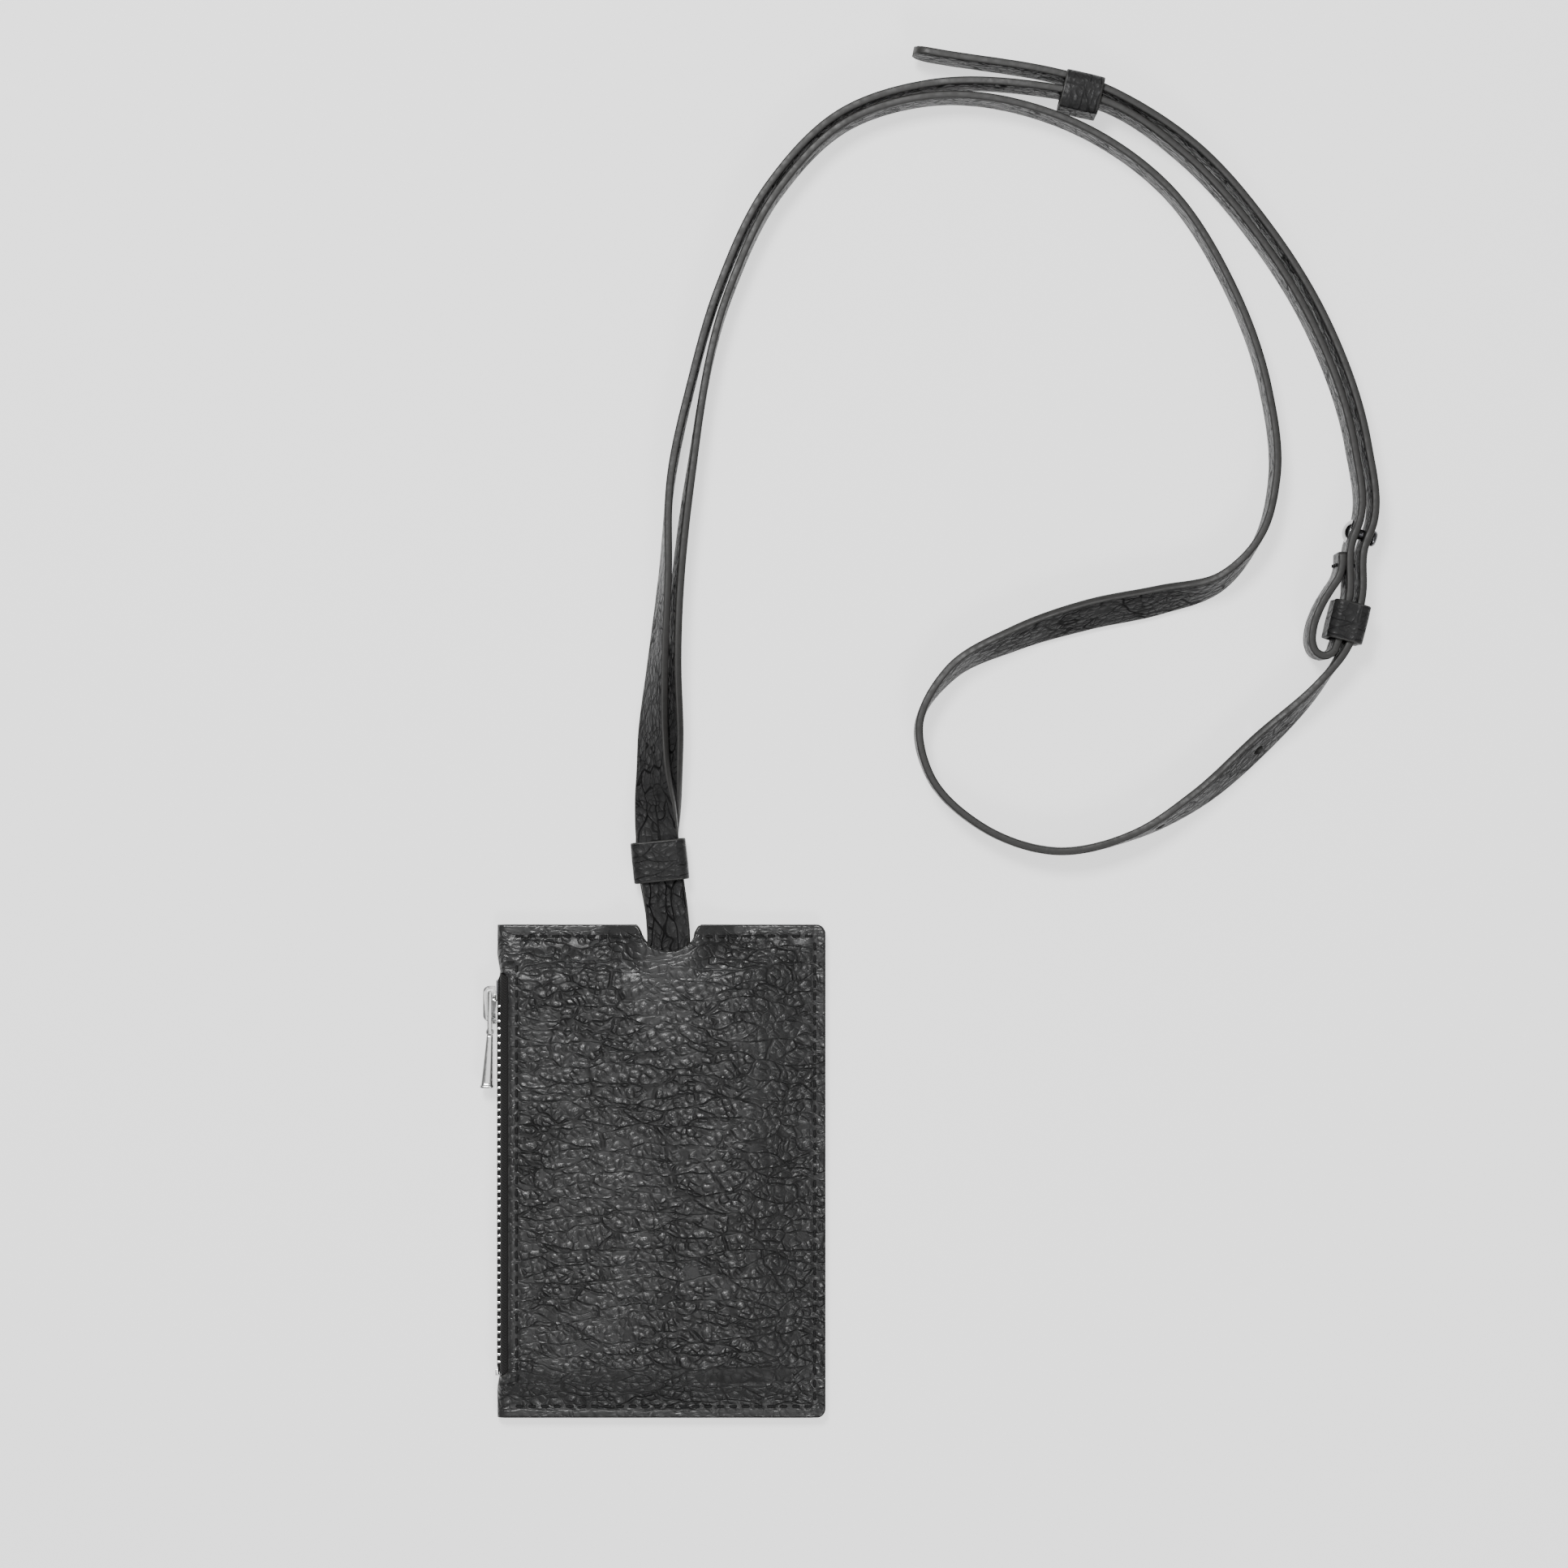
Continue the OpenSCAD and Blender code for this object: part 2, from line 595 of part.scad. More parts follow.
// The pull tab: a solid metal drop with an eye, deeper and wider towards its lower end
module pull_tab() {
    eye_r = link_d / 2 + eye_fit;
    inner_x = tab_top_d / 2;                              // its side towards the pouch stays straight
    color(bright_metal) translate([link_x, tab_y, zip_z]) difference() {
        intersection() {
            translate([0, 0, -tab_low_w]) linear_extrude(2 * tab_low_w) {
                circle(d = tab_top_d + 0.4);
                polygon([[-tab_top_d / 2, 0], [inner_x, 0], [inner_x, -tab_l],
                         [inner_x - tab_low_d, -tab_l]]);
            }
            rotate([0, 90, 0]) linear_extrude(4 * tab_low_d, center = true) polygon([
                [-tab_top_w / 2, tab_top_d], [tab_top_w / 2, tab_top_d],
                [tab_low_w / 2, -tab_l], [-tab_low_w / 2, -tab_l]]);
        }
        cylinder(r = eye_r, h = 2 * tab_low_w, center = true);
    }
}

// ---- Stitching ----

// One stitch on the front at x, y, and its twin on the back, along the turn a
module stitch(x, y, a) {
    for (z = [front_z(x, y) - thread_d / 2, 0.02]) translate([x, y, z]) rotate(a)
        translate([-stitch_l / 2, -thread_d / 2, 0]) cube([stitch_l, thread_d, thread_d]);
}

// A run of stitches from a to b, spread evenly at about the stitch pitch
module stitch_run(a, b) {
    run = norm(b - a);
    n = max(round(run / stitch_pitch), 1);
    turn = atan2(b[1] - a[1], b[0] - a[0]);
    for (i = [0 : n - 1]) let (p = a + (b - a) * (i + 0.5) / n) stitch(p[0], p[1], turn);
}

// The seam round the zip's opening
module zip_seam_thread() {
    y1 = opening_top + zip_seam_in + 0.5;
    y0 = opening_bottom - zip_seam_in;
    color(thread_black) {
        stitch_run([seam_left_x, y0], [seam_left_x, y1]);
        for (y = [y0, y1]) stitch_run([left_x + fold_r, y], [seam_left_x - 0.4, y]);
    }
}

// The seam round the other three edges, open at the notch
module edge_seam_thread() {
    start_x = left_x + 4;
    notch_gap = notch_w / 2 + 0.7;
    color(thread_black) {
        stitch_run([start_x, seam_top_y], [notch_x - notch_gap, seam_top_y]);
        stitch_run([notch_x + notch_gap, seam_top_y], [seam_right_x, seam_top_y]);
        stitch_run([seam_right_x, seam_top_y - 1], [seam_right_x, seam_bottom_y + 1]);
        stitch_run([seam_right_x, seam_bottom_y], [start_x, seam_bottom_y]);
    }
}

// ---- Strap ----

function unit(v) = v / norm(v);
function place(p) = [p[0], p[1], p[2]];
function tangent(route, i) =
    unit(place(route[min(i + 1, len(route) - 1)]) - place(route[max(i - 1, 0)]));
function left_of(t) = unit(cross([0, 0, 1], t));
function up_of(t) = cross(t, left_of(t));

// The strap's section: a flat bar with its four edges cut off, width first
strap_edge = 0.45;
strap_section = [
    [strap_w / 2, strap_t / 2 - strap_edge], [strap_w / 2 - strap_edge, strap_t / 2],
    [-strap_w / 2 + strap_edge, strap_t / 2], [-strap_w / 2, strap_t / 2 - strap_edge],
    [-strap_w / 2, -strap_t / 2 + strap_edge], [-strap_w / 2 + strap_edge, -strap_t / 2],
    [strap_w / 2 - strap_edge, -strap_t / 2], [strap_w / 2, -strap_t / 2 + strap_edge]];

// The section set square to the run at one point of the route, leaning as the point says
function ring(route, i) =
    let (t = tangent(route, i), lean = route[i][3], s = left_of(t), u = up_of(t),
         w = u * cos(lean) + s * sin(lean), n = s * cos(lean) - u * sin(lean))
    [for (q = strap_section) place(route[i]) + w * q[0] + n * q[1]];

// One closed tube through the sections at the route's own points
module strap_tube(route) {
    sides = len(strap_section);
    last = len(route) - 1;
    points = [for (i = [0 : last]) each ring(route, i)];
    walls = [for (i = [0 : last - 1], k = [0 : sides - 1])
        let (a = i * sides + k, b = i * sides + (k + 1) % sides)
        each [[a, b, a + sides], [b, b + sides, a + sides]]];
    start_cap = [for (k = [sides - 1 : -1 : 0]) k];
    end_cap = [for (k = [0 : sides - 1]) last * sides + k];
    translate(strap_from) polyhedron(points, concat([start_cap], walls, [end_cap]));
}

// The turn round the anchor bar, between the two legs
module strap_turn() {
    turn_r = (front_leg_z - back_leg_z) / 2;
    translate([notch_x, anchor_y, legs_z]) rotate([0, 90, 0]) rotate([0, 0, 180])
        rotate_extrude(angle = 180) translate([turn_r - strap_t / 2, -strap_w / 2])
            square([strap_t, strap_w]);
}

// The line of the stud, with x along it
module on_stud() {
    translate(strap_from + stud_at) rotate([0, 0, stud_turn]) rotate([0, 90, 0]) children();
}

module strap_short_leg() {
    color(strap_black) {
        difference() {
            strap_tube(short_route);
            on_stud() cylinder(d = shank_d + 2 * stud_hole_clear, h = punch_h, center = true);
        }
        strap_turn();
    }
}

// Distance along a route to its point i, and the stretch that a distance falls in
function run_to(route, i) = i == 0 ? 0 : run_to(route, i - 1) + norm(place(route[i]) - place(route[i - 1]));
function stretch_at(route, run, i = 0) = run_to(route, i + 1) >= run ? i : stretch_at(route, run, i + 1);

// A hole straight through the strap's thickness at a distance along the route
module adjust_hole(route, run) {
    i = stretch_at(route, run);
    way = place(route[i + 1]) - place(route[i]);
    at = route[i] + (route[i + 1] - route[i]) * (run - run_to(route, i)) / norm(way);
    translate(strap_from + place(at)) rotate([0, 0, atan2(way[1], way[0])]) rotate([-90 - at[3], 0, 0])
        cylinder(d = adjust_hole_d, h = punch_h, center = true);
}

module strap_long_leg() {
    at_stud = 33;                                         // the stud is half-way past this point
    stud_run = (run_to(long_route, at_stud) + run_to(long_route, at_stud + 1)) / 2;
    color(strap_black) difference() {
        strap_tube(long_route);
        on_stud() translate([0, 0, layer_step])
            cylinder(d = adjust_hole_d, h = punch_h, center = true);
        for (k = [1 : 1 : spare_holes]) adjust_hole(long_route, stud_run - k * adjust_pitch);
    }
}

// ---- Keepers ----

// A closed leather loop round the strap, its way through along Y
module keeper(in_w, in_h, l) {
    rotate([90, 0, 0]) linear_extrude(l, center = true) difference() {
        round_rect(in_w + 2 * keeper_t, in_h + 2 * keeper_t, keeper_t + 0.6);
        round_rect(in_w, in_h, 0.6);
    }
}

module keeper_pouch() {
    both_legs = front_leg_z - back_leg_z + strap_t;
    color(leather_black) translate(strap_from + pouch_keeper_at) rotate(pouch_keeper_turn)
        keeper(strap_w + 2 * keeper_fit, both_legs + 2 * keeper_fit, pouch_keeper_l);
}

module keeper_top() {
    color(leather_black) translate(strap_from + top_keeper_at) rotate(top_keeper_turn)
        keeper(top_keeper_in_w, strap_w + keeper_fit, loop_keeper_l);
}

module keeper_lower() {
    color(leather_black) translate(strap_from + lower_keeper_at) rotate(lower_keeper_turn)
        keeper(lower_keeper_in_w, strap_w + keeper_fit, loop_keeper_l);
}

// ---- Collar stud and sewn end ----

// The domed screw on the loop's inner side
module stud_screw() {
    dome_r = (pow(dome_d / 2, 2) + pow(dome_h, 2)) / (2 * dome_h);
    seat = -strap_t / 2 - stud_hole_clear;
    color(bright_metal) on_stud() {
        intersection() {
            translate([0, 0, seat - dome_h + dome_r]) sphere(dome_r);
            translate([0, 0, seat - dome_h]) cylinder(d = dome_d, h = dome_h);
        }
        translate([0, 0, seat]) cylinder(d = shank_d, h = strap_t + 1.6);
    }
}

// The post that the screw holds, with the head that the outer layer is buttoned over
module stud_post() {
    foot = strap_t / 2 + stud_hole_clear;
    neck = layer_step + strap_t / 2 + 0.1;
    color(dark_metal) on_stud() difference() {
        union() {
            translate([0, 0, foot]) cylinder(d = post_d, h = neck - foot + 0.2);
            translate([0, 0, neck]) rotate_extrude() polygon([
                [0, 0], [head_d / 2 - 0.3, 0], [head_d / 2, 0.35], [head_d / 2, head_h - 0.5],
                [head_d / 2 - 0.5, head_h], [0, head_h]]);
        }
        translate([0, 0, foot - 1]) cylinder(d = shank_d, h = 1 + 1.6 - 2 * stud_hole_clear);
    }
}

// Three hand stitches through the strap's end and the layer it is sewn to
module loop_tack() {
    pitch = strap_w * 0.28;
    color(thread_black) translate(strap_from + tack_at) rotate([0, 0, tack_turn]) for (s = [-1, 0, 1])
        translate([0, 0, s * pitch]) rotate([0, 90, 0])
            cylinder(d = 0.8, h = 2 * strap_t + 0.9, center = true);
}

outer_leather();
front_lining();
back_lining();
divider();
zip_tape_front();
zip_tape_back();
zip_teeth_front();
zip_teeth_back();
zip_top_stops();
zip_bottom_stop();
zip_slider();
pull_link();
pull_tab();
zip_seam_thread();
edge_seam_thread();
strap_short_leg();
strap_long_leg();
keeper_pouch();
keeper_top();
keeper_lower();
stud_screw();
stud_post();
loop_tack();
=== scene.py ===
"""A flat leather neck pouch with a metal zip in its folded edge, on a long flat leather strap."""

import bmesh
import bpy
import numpy as np
from mathutils import Euler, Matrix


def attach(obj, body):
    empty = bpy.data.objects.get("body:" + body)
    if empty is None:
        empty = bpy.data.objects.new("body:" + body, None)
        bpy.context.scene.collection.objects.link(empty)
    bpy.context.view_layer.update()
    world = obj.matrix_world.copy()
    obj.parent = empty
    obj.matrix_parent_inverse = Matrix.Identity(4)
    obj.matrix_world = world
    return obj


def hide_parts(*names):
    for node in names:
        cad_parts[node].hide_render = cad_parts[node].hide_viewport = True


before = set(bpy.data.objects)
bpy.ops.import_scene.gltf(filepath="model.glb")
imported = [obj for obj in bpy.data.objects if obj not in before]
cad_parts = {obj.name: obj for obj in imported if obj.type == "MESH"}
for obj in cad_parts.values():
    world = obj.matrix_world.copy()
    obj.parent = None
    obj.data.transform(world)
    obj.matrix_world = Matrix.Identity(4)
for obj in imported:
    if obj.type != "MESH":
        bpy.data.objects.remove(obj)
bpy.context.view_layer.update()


# --- Outer leather -----------------------------------------------------------
# One piece of drum-dyed, pebble-grained cowhide 1.3 mm thick, folded at the left so that it makes
# the back and the front. A long opening for the zip is cut across the fold, a notch for the strap
# is cut in the top, and the three open edges are sewn, trimmed and painted.
MM = 0.001
half_w, half_h = 40.0, 60.0
skin = 1.3
edge_high, rise = 3.8, 4.4
notch_x, notch_deep = 1.8, 6.3
opening_x, opening_top, opening_low, opening_r = -36.9, 48.5, -49.5, 1.8
fold_x, fold_span, fold_bulge = -37.6, 9.0, 2.4
corner_r = 2.2
seam_left, seam_right, seam_end = -34.9, 37.4, 57.25
bar_x, bar_y, bar_half_w, bar_half_h = 21.7, -49.2, 9.5, 1.2


def smooth(t):
    """3t^2 - 2t^3 on t held between 0 and 1."""
    t = np.clip(t, 0, 1)
    return t * t * (3 - 2 * t)


def soft_slope(t, blend=0.22):
    """t held between 0 and 1, with each of the two corners rounded by a parabola of that width."""
    low = np.maximum(t, 0) + np.maximum(blend - np.abs(t), 0) ** 2 / (4 * blend)
    return np.minimum(low, 1) - np.maximum(blend - np.abs(low - 1), 0) ** 2 / (4 * blend)


def front_height(x, y):
    """Height of the front: the sewn edge's height plus the rise, times the lower of the side slope
    and the higher of the end slope and the strap's way out under the notch."""
    side = soft_slope((35.5 - x) / 14)
    end = soft_slope((55.5 - np.abs(y)) / 7.5)
    way_out = np.where(y > 0, soft_slope((16 - np.abs(x - notch_x)) / 9.5), 0)
    return edge_high + rise * np.minimum(side, np.maximum(end, way_out))


def notch_depth(x):
    """How far the top edge is cut back at x: straight slanting sides, then a round floor."""
    off = np.abs(x - notch_x)
    floor_r = (5.6**2 + 2.3**2) / 4.6
    floor = notch_deep - floor_r + np.sqrt(np.maximum(floor_r**2 - off**2, 0))
    side = 4.0 * smooth((7.9 - off) / 2.6 + 0.04)
    return np.where(off < 5.6, floor, side)


def round_off(x, y, centre_x, centre_y, r, reach):
    """Points beyond a corner's centre, which form squares about it, are drawn in to circles:
    each is moved towards the circle of its square, fully at the radius r and not at all at reach."""
    dx, dy = x - centre_x, y - centre_y
    square = np.maximum(np.abs(dx), np.abs(dy))
    length = np.maximum(np.hypot(dx, dy), 1e-9)
    pull = np.where(square <= r, 1.0, 1 - smooth((square - r) / (reach - r)))
    share = 1 + (square / length - 1) * pull
    return centre_x + dx * share, centre_y + dy * share


def grid_mesh(name, points, uv=None, keep=None, wrap=False, caps=False, flip=False):
    """Four-sided faces over a grid of points in millimetres. Cell (i, j) joins point (i, j) to its
    neighbours in the next row and column. wrap joins the last column to the first, caps closes the
    first and last rows, keep chooses cells, and uv gives a flat place to each cell corner."""
    rows, cols = points.shape[:2]
    index = np.arange(rows * cols).reshape(rows, cols)
    if wrap:
        index = np.hstack([index, index[:, :1]])
    corners = [index[:-1, :-1], index[:-1, 1:], index[1:, 1:], index[1:, :-1]]
    chosen = np.ones(corners[0].shape, bool) if keep is None else keep
    quads = np.stack(corners, axis=-1)[chosen]
    faces = (quads[:, ::-1] if flip else quads).tolist()
    if caps:
        first, last = index[0, :cols].tolist(), index[-1, :cols].tolist()
        faces += [first, last[::-1]] if flip else [first[::-1], last]
    mesh = bpy.data.meshes.new(name)
    mesh.from_pydata((points.reshape(-1, 3) * MM).tolist(), [], faces)
    if uv is not None:
        flat = np.stack([uv[:-1, :-1], uv[:-1, 1:], uv[1:, 1:], uv[1:, :-1]], axis=-2)[chosen]
        flat = (flat[:, ::-1] if flip else flat).reshape(-1, 2) * MM
        whole = np.zeros((len(mesh.loops), 2))
        whole[: len(flat)] = flat
        mesh.uv_layers.new(name="along").data.foreach_set("uv", whole.ravel())
    mesh.shade_smooth()
    piece = bpy.data.objects.new(name, mesh)
    bpy.context.scene.collection.objects.link(piece)
    return piece


def spaced(*stops):
    """Places from the first stop to the last, each stretch (from, to, step) cut into even steps."""
    runs = [np.linspace(a, b, max(int(round(abs(b - a) / step)), 1) + 1) for a, b, step in stops]
    return np.concatenate([runs[0]] + [run[1:] for run in runs[1:]])


class Wiring:
    """A new material's node tree, with short calls to add a node and to join two sockets."""

    def __init__(self, name):
        self.material = bpy.data.materials.new(name)
        self.material.use_nodes = True
        self.tree = self.material.node_tree
        self.shader = self.tree.nodes["Principled BSDF"]

    def add(self, kind, inputs=None, **settings):
        """A node with these settings; each input is a number, a colour or a socket to join."""
        node = self.tree.nodes.new("ShaderNode" + kind)
        for key, value in settings.items():
            setattr(node, key, value)
        for key, value in (inputs or {}).items():
            if hasattr(value, "is_output"):
                self.tree.links.new(value, node.inputs[key])
            else:
                node.inputs[key].default_value = value
        return node

    def math(self, operation, a, b=0.0):
        """One sum on two sockets or numbers."""
        return self.add("Math", {0: a, 1: b}, operation=operation).outputs[0]

    def ramp(self, value, low, high, start=0.0, end=1.0):
        """start to end as value goes from low to high, eased at both ends."""
        limits = {"Value": value, "From Min": low, "From Max": high, "To Min": start, "To Max": end}
        return self.add("MapRange", limits, interpolation_type="SMOOTHSTEP").outputs[0]

    def blend(self, share, a, b):
        """The colour a where share is 0, b where it is 1."""
        return self.add("Mix", {0: share, 6: a, 7: b}, data_type="RGBA").outputs[2]

    def finish(self, colour, roughness, bump=None, lift=0.0001, **uniform):
        """Joins the surface to the shader. lift is the bump's height in metres, and uniform values
        go straight on the shader's own sockets."""
        for key, value in (("Base Color", colour), ("Roughness", roughness)):
            if hasattr(value, "is_output"):
                self.tree.links.new(value, self.shader.inputs[key])
            else:
                self.shader.inputs[key].default_value = value
        if bump is not None:
            normal = self.add("Bump", {"Strength": 1.0, "Distance": lift, "Height": bump})
            self.tree.links.new(normal.outputs[0], self.shader.inputs["Normal"])
        for key, value in uniform.items():
            self.shader.inputs[key.replace("_", " ")].default_value = value
        return self.material


def pebbled_leather(name, coordinates, crease_shade, top, pebble, lift=0.00045, gloss=0.32):
    """Pebble grain: domes about as wide as pebble, in millimetres, parted by creases of uneven depth,
    with long wavy creases across the hide and fine wrinkles between. The creases and the hollows
    between the domes are painted darker, towards the crease shade colour, as painted shade. A slow
    noise bends them all and makes patches of bolder and of quieter grain. Where the grain attribute
    is low the leather is flatter and its painted shade weaker, and where the pressed attribute is
    high it is darker."""
    w = Wiring(name)
    place = w.add("TexCoord").outputs[coordinates]
    slow = w.add("TexNoise", {"Vector": place, "Scale": 110.0, "Detail": 2.0})
    bend = w.add("VectorMath", {0: slow.outputs["Color"], 1: (0.5, 0.5, 0.5)}, operation="SUBTRACT")
    bend = w.add("VectorMath", {0: bend.outputs[0], "Scale": 0.004}, operation="SCALE")
    bent = w.add("VectorMath", {0: place, 1: bend.outputs[0]}, operation="ADD").outputs[0]
    patches = w.add("TexNoise", {"Vector": place, "Scale": 62.0, "Detail": 2.0}).outputs["Fac"]
    depth = w.add("TexNoise", {"Vector": bent, "Scale": 300.0, "Detail": 1.0}).outputs["Fac"]
    cell = 1000.0 / pebble
    wide = w.add("Mapping", {"Vector": bent, "Scale": (0.88, 1.12, 1.0)}).outputs[0]
    borders = w.add("TexVoronoi", {"Vector": wide, "Scale": cell}, feature="DISTANCE_TO_EDGE")
    domes = w.add("TexVoronoi", {"Vector": wide, "Scale": cell}, feature="F1")
    long_way = w.add("Mapping", {"Vector": bent, "Scale": (0.2, 0.75, 1.0)}).outputs[0]
    creases = w.add("TexVoronoi", {"Vector": long_way, "Scale": cell * 0.7}, feature="DISTANCE_TO_EDGE")
    small = w.add("TexVoronoi", {"Vector": bent, "Scale": cell * 2.3}, feature="DISTANCE_TO_EDGE")
    plate = w.ramp(borders.outputs["Distance"], 0.0, 0.12)
    floor = w.ramp(depth, 0.35, 0.65, 0.3, 0.9)
    plate = w.math("ADD", floor, w.math("MULTIPLY", plate, w.math("SUBTRACT", 1.0, floor)))
    plate = w.math("MULTIPLY", plate, w.ramp(creases.outputs["Distance"], 0.0, 0.06, 0.0, 1.0))
    plate = w.math("MULTIPLY", plate, w.ramp(small.outputs["Distance"], 0.0, 0.16, 0.9, 1.0))
    fall = w.math("MULTIPLY", w.math("POWER", domes.outputs["Distance"], 2.0), 2.2)
    dome = w.math("MAXIMUM", w.math("SUBTRACT", 1.0, fall), 0.0)
    body = w.math("MULTIPLY", plate, w.math("ADD", 0.25, w.math("MULTIPLY", dome, 0.75)))
    grain = w.add("Attribute", attribute_name="grain").outputs["Fac"]
    boldness = w.math("MULTIPLY", w.ramp(patches, 0.35, 0.65, 0.5, 1.0), grain)
    height = w.math("MULTIPLY", body, w.math("ADD", boldness, 0.12))
    pores = w.add("TexNoise", {"Vector": place, "Scale": 3800.0, "Detail": 2.0}).outputs["Fac"]
    height = w.math("ADD", height, w.math("MULTIPLY", pores, 0.035))
    # Painted shade: the hollows, creases and dome edges are coloured darker than the tops, more so
    # where the grain is bolder.
    raised = w.math("ADD", w.math("MULTIPLY", plate, 0.6), w.math("MULTIPLY", body, 0.4))
    hollow_shade = w.math("SUBTRACT", 1.0, raised)
    tone = w.math("SUBTRACT", 1.0, w.math("MULTIPLY", hollow_shade, w.math("ADD", boldness, 0.1)))
    tone = w.math("ADD", tone, w.math("MULTIPLY", w.math("SUBTRACT", patches, 0.5), 0.2))
    pressed = w.add("Attribute", attribute_name="pressed").outputs["Fac"]
    tone = w.math("SUBTRACT", tone, w.math("MULTIPLY", pressed, 0.45))
    colour = w.blend(w.ramp(tone, 0.1, 0.95), crease_shade, top)
    rough = w.ramp(tone, 0.1, 1.0, 0.62, 0.29)
    return w.finish(colour, rough, height, lift, Specular_IOR_Level=gloss)


def painted_edge(name, colour):
    """Edge paint over sanded leather: smooth, with a slight waviness in its tone and surface."""
    w = Wiring(name)
    place = w.add("TexCoord").outputs["Object"]
    waves = w.add("TexNoise", {"Vector": place, "Scale": 700.0, "Detail": 3.0}).outputs["Fac"]
    tone = w.blend(waves, [c * 0.8 for c in colour[:3]] + [1], [c * 1.2 for c in colour[:3]] + [1])
    return w.finish(tone, w.ramp(waves, 0.3, 0.7, 0.45, 0.6), waves, 0.00004, Specular_IOR_Level=0.35)


# Painted shade: the near-black colour that both leathers take in their creases and hollows.
painted_crease_shade = (0.001, 0.001, 0.0011, 1)
pouch_leather = pebbled_leather("pouch_leather", "Object", painted_crease_shade, (0.0165, 0.0165, 0.0167, 1),
                                1.9)
edge_paint = painted_edge("edge_paint", (0.024, 0.0235, 0.0215))

across = spaced((40, 36.5, 0.6), (36.5, 33.5, 0.5), (33.5, 31, 0.35), (31, 13, 1.0), (13, 10.5, 0.35),
                (10.5, -7, 0.4), (-7, -33, 1.0), (-33, opening_x, 0.55), (opening_x, fold_x, 0.35))
round_fold = np.linspace(fold_x, fold_x - fold_span, 17)[1:-1]
developed = np.concatenate([across, round_fold, 2 * fold_x - fold_span - across[::-1]])
down = spaced((60, 57.5, 0.5), (57.5, 50.3, 0.6), (50.3, opening_top, 0.3),
              (opening_top, 45.5, 0.4), (45.5, -46.2, 1.1), (-46.2, opening_low, 0.3),
              (opening_low, -52.3, 0.3), (-52.3, -60, 0.6))
surface_s, surface_y = np.meshgrid(developed, down)


def pressed_bar(x, y):
    """1 inside the plain bar pressed into the front's lower right, 0 outside: the distance to a
    rectangle with round corners, turned into a short ramp."""
    off_x, off_y = np.abs(x - bar_x) - bar_half_w, np.abs(y - bar_y) - bar_half_h
    outside = np.hypot(np.maximum(off_x, 0), np.maximum(off_y, 0))
    return 1 - smooth((outside + np.minimum(np.maximum(off_x, off_y), 0) - 0.75) / 0.5)


def pouch_surface(s, y):
    """The developed sheet laid round the pouch: s is x on the front, then runs round the fold on a
    flattened half ellipse as high as the front is there, and back to the right under the back."""
    mirrored = s < fold_x - fold_span
    s = np.where(mirrored, 2 * fold_x - fold_span - s, s)
    on_fold = s < fold_x
    turn = np.pi * np.clip((fold_x - s) / fold_span, 0, 1)
    for sy in (1, -1):
        corner = (s > half_w - corner_r) & (sy * y > half_h - corner_r)
        centre_x, centre_y = half_w - corner_r, sy * (half_h - corner_r)
        cx, cy = round_off(s, y, centre_x, centre_y, corner_r, corner_r + 0.0001)
        s, y = np.where(corner, cx, s), np.where(corner, cy, y)
    for sy, end in ((1, opening_top), (-1, opening_low)):
        centre_x, centre_y = opening_x - opening_r, end - sy * opening_r
        near = (s > centre_x) & (sy * (y - centre_y) > 0) & (np.abs(y - centre_y) < 5)
        cx, cy = round_off(s, y, centre_x, centre_y, opening_r, 4.9)
        s, y = np.where(near & ~on_fold, cx, s), np.where(near & ~on_fold, cy, y)
    lowered = smooth((y - 44.5) / 15.5)
    y = y - notch_depth(s) * lowered
    top = front_height(s, y)
    seam = np.exp(-(((s - seam_left) / 0.55) ** 2)) * (np.abs(y) < 51.5)
    seam = np.maximum(seam, np.exp(-(((s - seam_right) / 0.55) ** 2)))
    seam = np.maximum(seam, np.exp(-(((np.abs(y) - seam_end) / 0.55) ** 2)))
    swell = np.sin(s * 0.31 + 1.3 * np.sin(y * 0.11)) * np.sin(y * 0.17 + 0.7) * 0.12
    lip = smooth((s - opening_x) / 1.1) * 0.35 - 0.35
    lip = np.where((y < opening_top) & (y > opening_low), lip, 0)
    calm = smooth((36 - s) / 6) * smooth((55 - np.abs(y)) / 5)
    front = top - 0.24 * seam + swell * calm + lip - 0.3 * pressed_bar(s, y)
    back = 0.12 * seam
    reach = fold_bulge - 0.9 * smooth((53.5 - np.abs(y)) / 6)
    height = np.where(on_fold, top / 2 + (top / 2) * np.cos(turn), np.where(mirrored, back, front))
    x = np.where(on_fold, fold_x - reach * np.abs(np.sin(turn)) ** 0.75, s)
    return np.stack([x, y, height], axis=-1)


sheet_points = pouch_surface(surface_s, surface_y)
cell_s = (surface_s[:-1, :-1] + surface_s[1:, 1:]) / 2
cell_y = (surface_y[:-1, :-1] + surface_y[1:, 1:]) / 2
in_opening = (cell_s < opening_x) & (cell_s > 2 * fold_x - fold_span - opening_x)
in_opening &= (cell_y < opening_top) & (cell_y > opening_low)
shell = grid_mesh("pouch_leather_shell", sheet_points, keep=~in_opening)
# The grain is pulled flat under the notch, and pressed flat at the edges, the seams and the bar.
at_x, at_y = sheet_points[..., 0], sheet_points[..., 1]
stretched = np.exp(-(((at_x - 1.5) / 10) ** 2 + ((at_y - 50) / 7) ** 2))
pressed_edge = smooth((np.abs(at_y) - 57.6) / 0.8)
by_opening = np.exp(-(((at_x + 36.3) / 1.3) ** 2))
by_seam = np.exp(-(((at_x - seam_right) / 0.8) ** 2))
by_seam = np.maximum(by_seam, np.exp(-(((at_x - seam_left) / 0.8) ** 2)))
on_bar = pressed_bar(at_x, at_y) * (surface_s > 0)
flattened = 0.85 * stretched + 0.8 * pressed_edge + 0.55 * by_opening + 0.6 * by_seam
grain = np.clip(1 - 0.7 * on_bar - flattened, 0, 1)
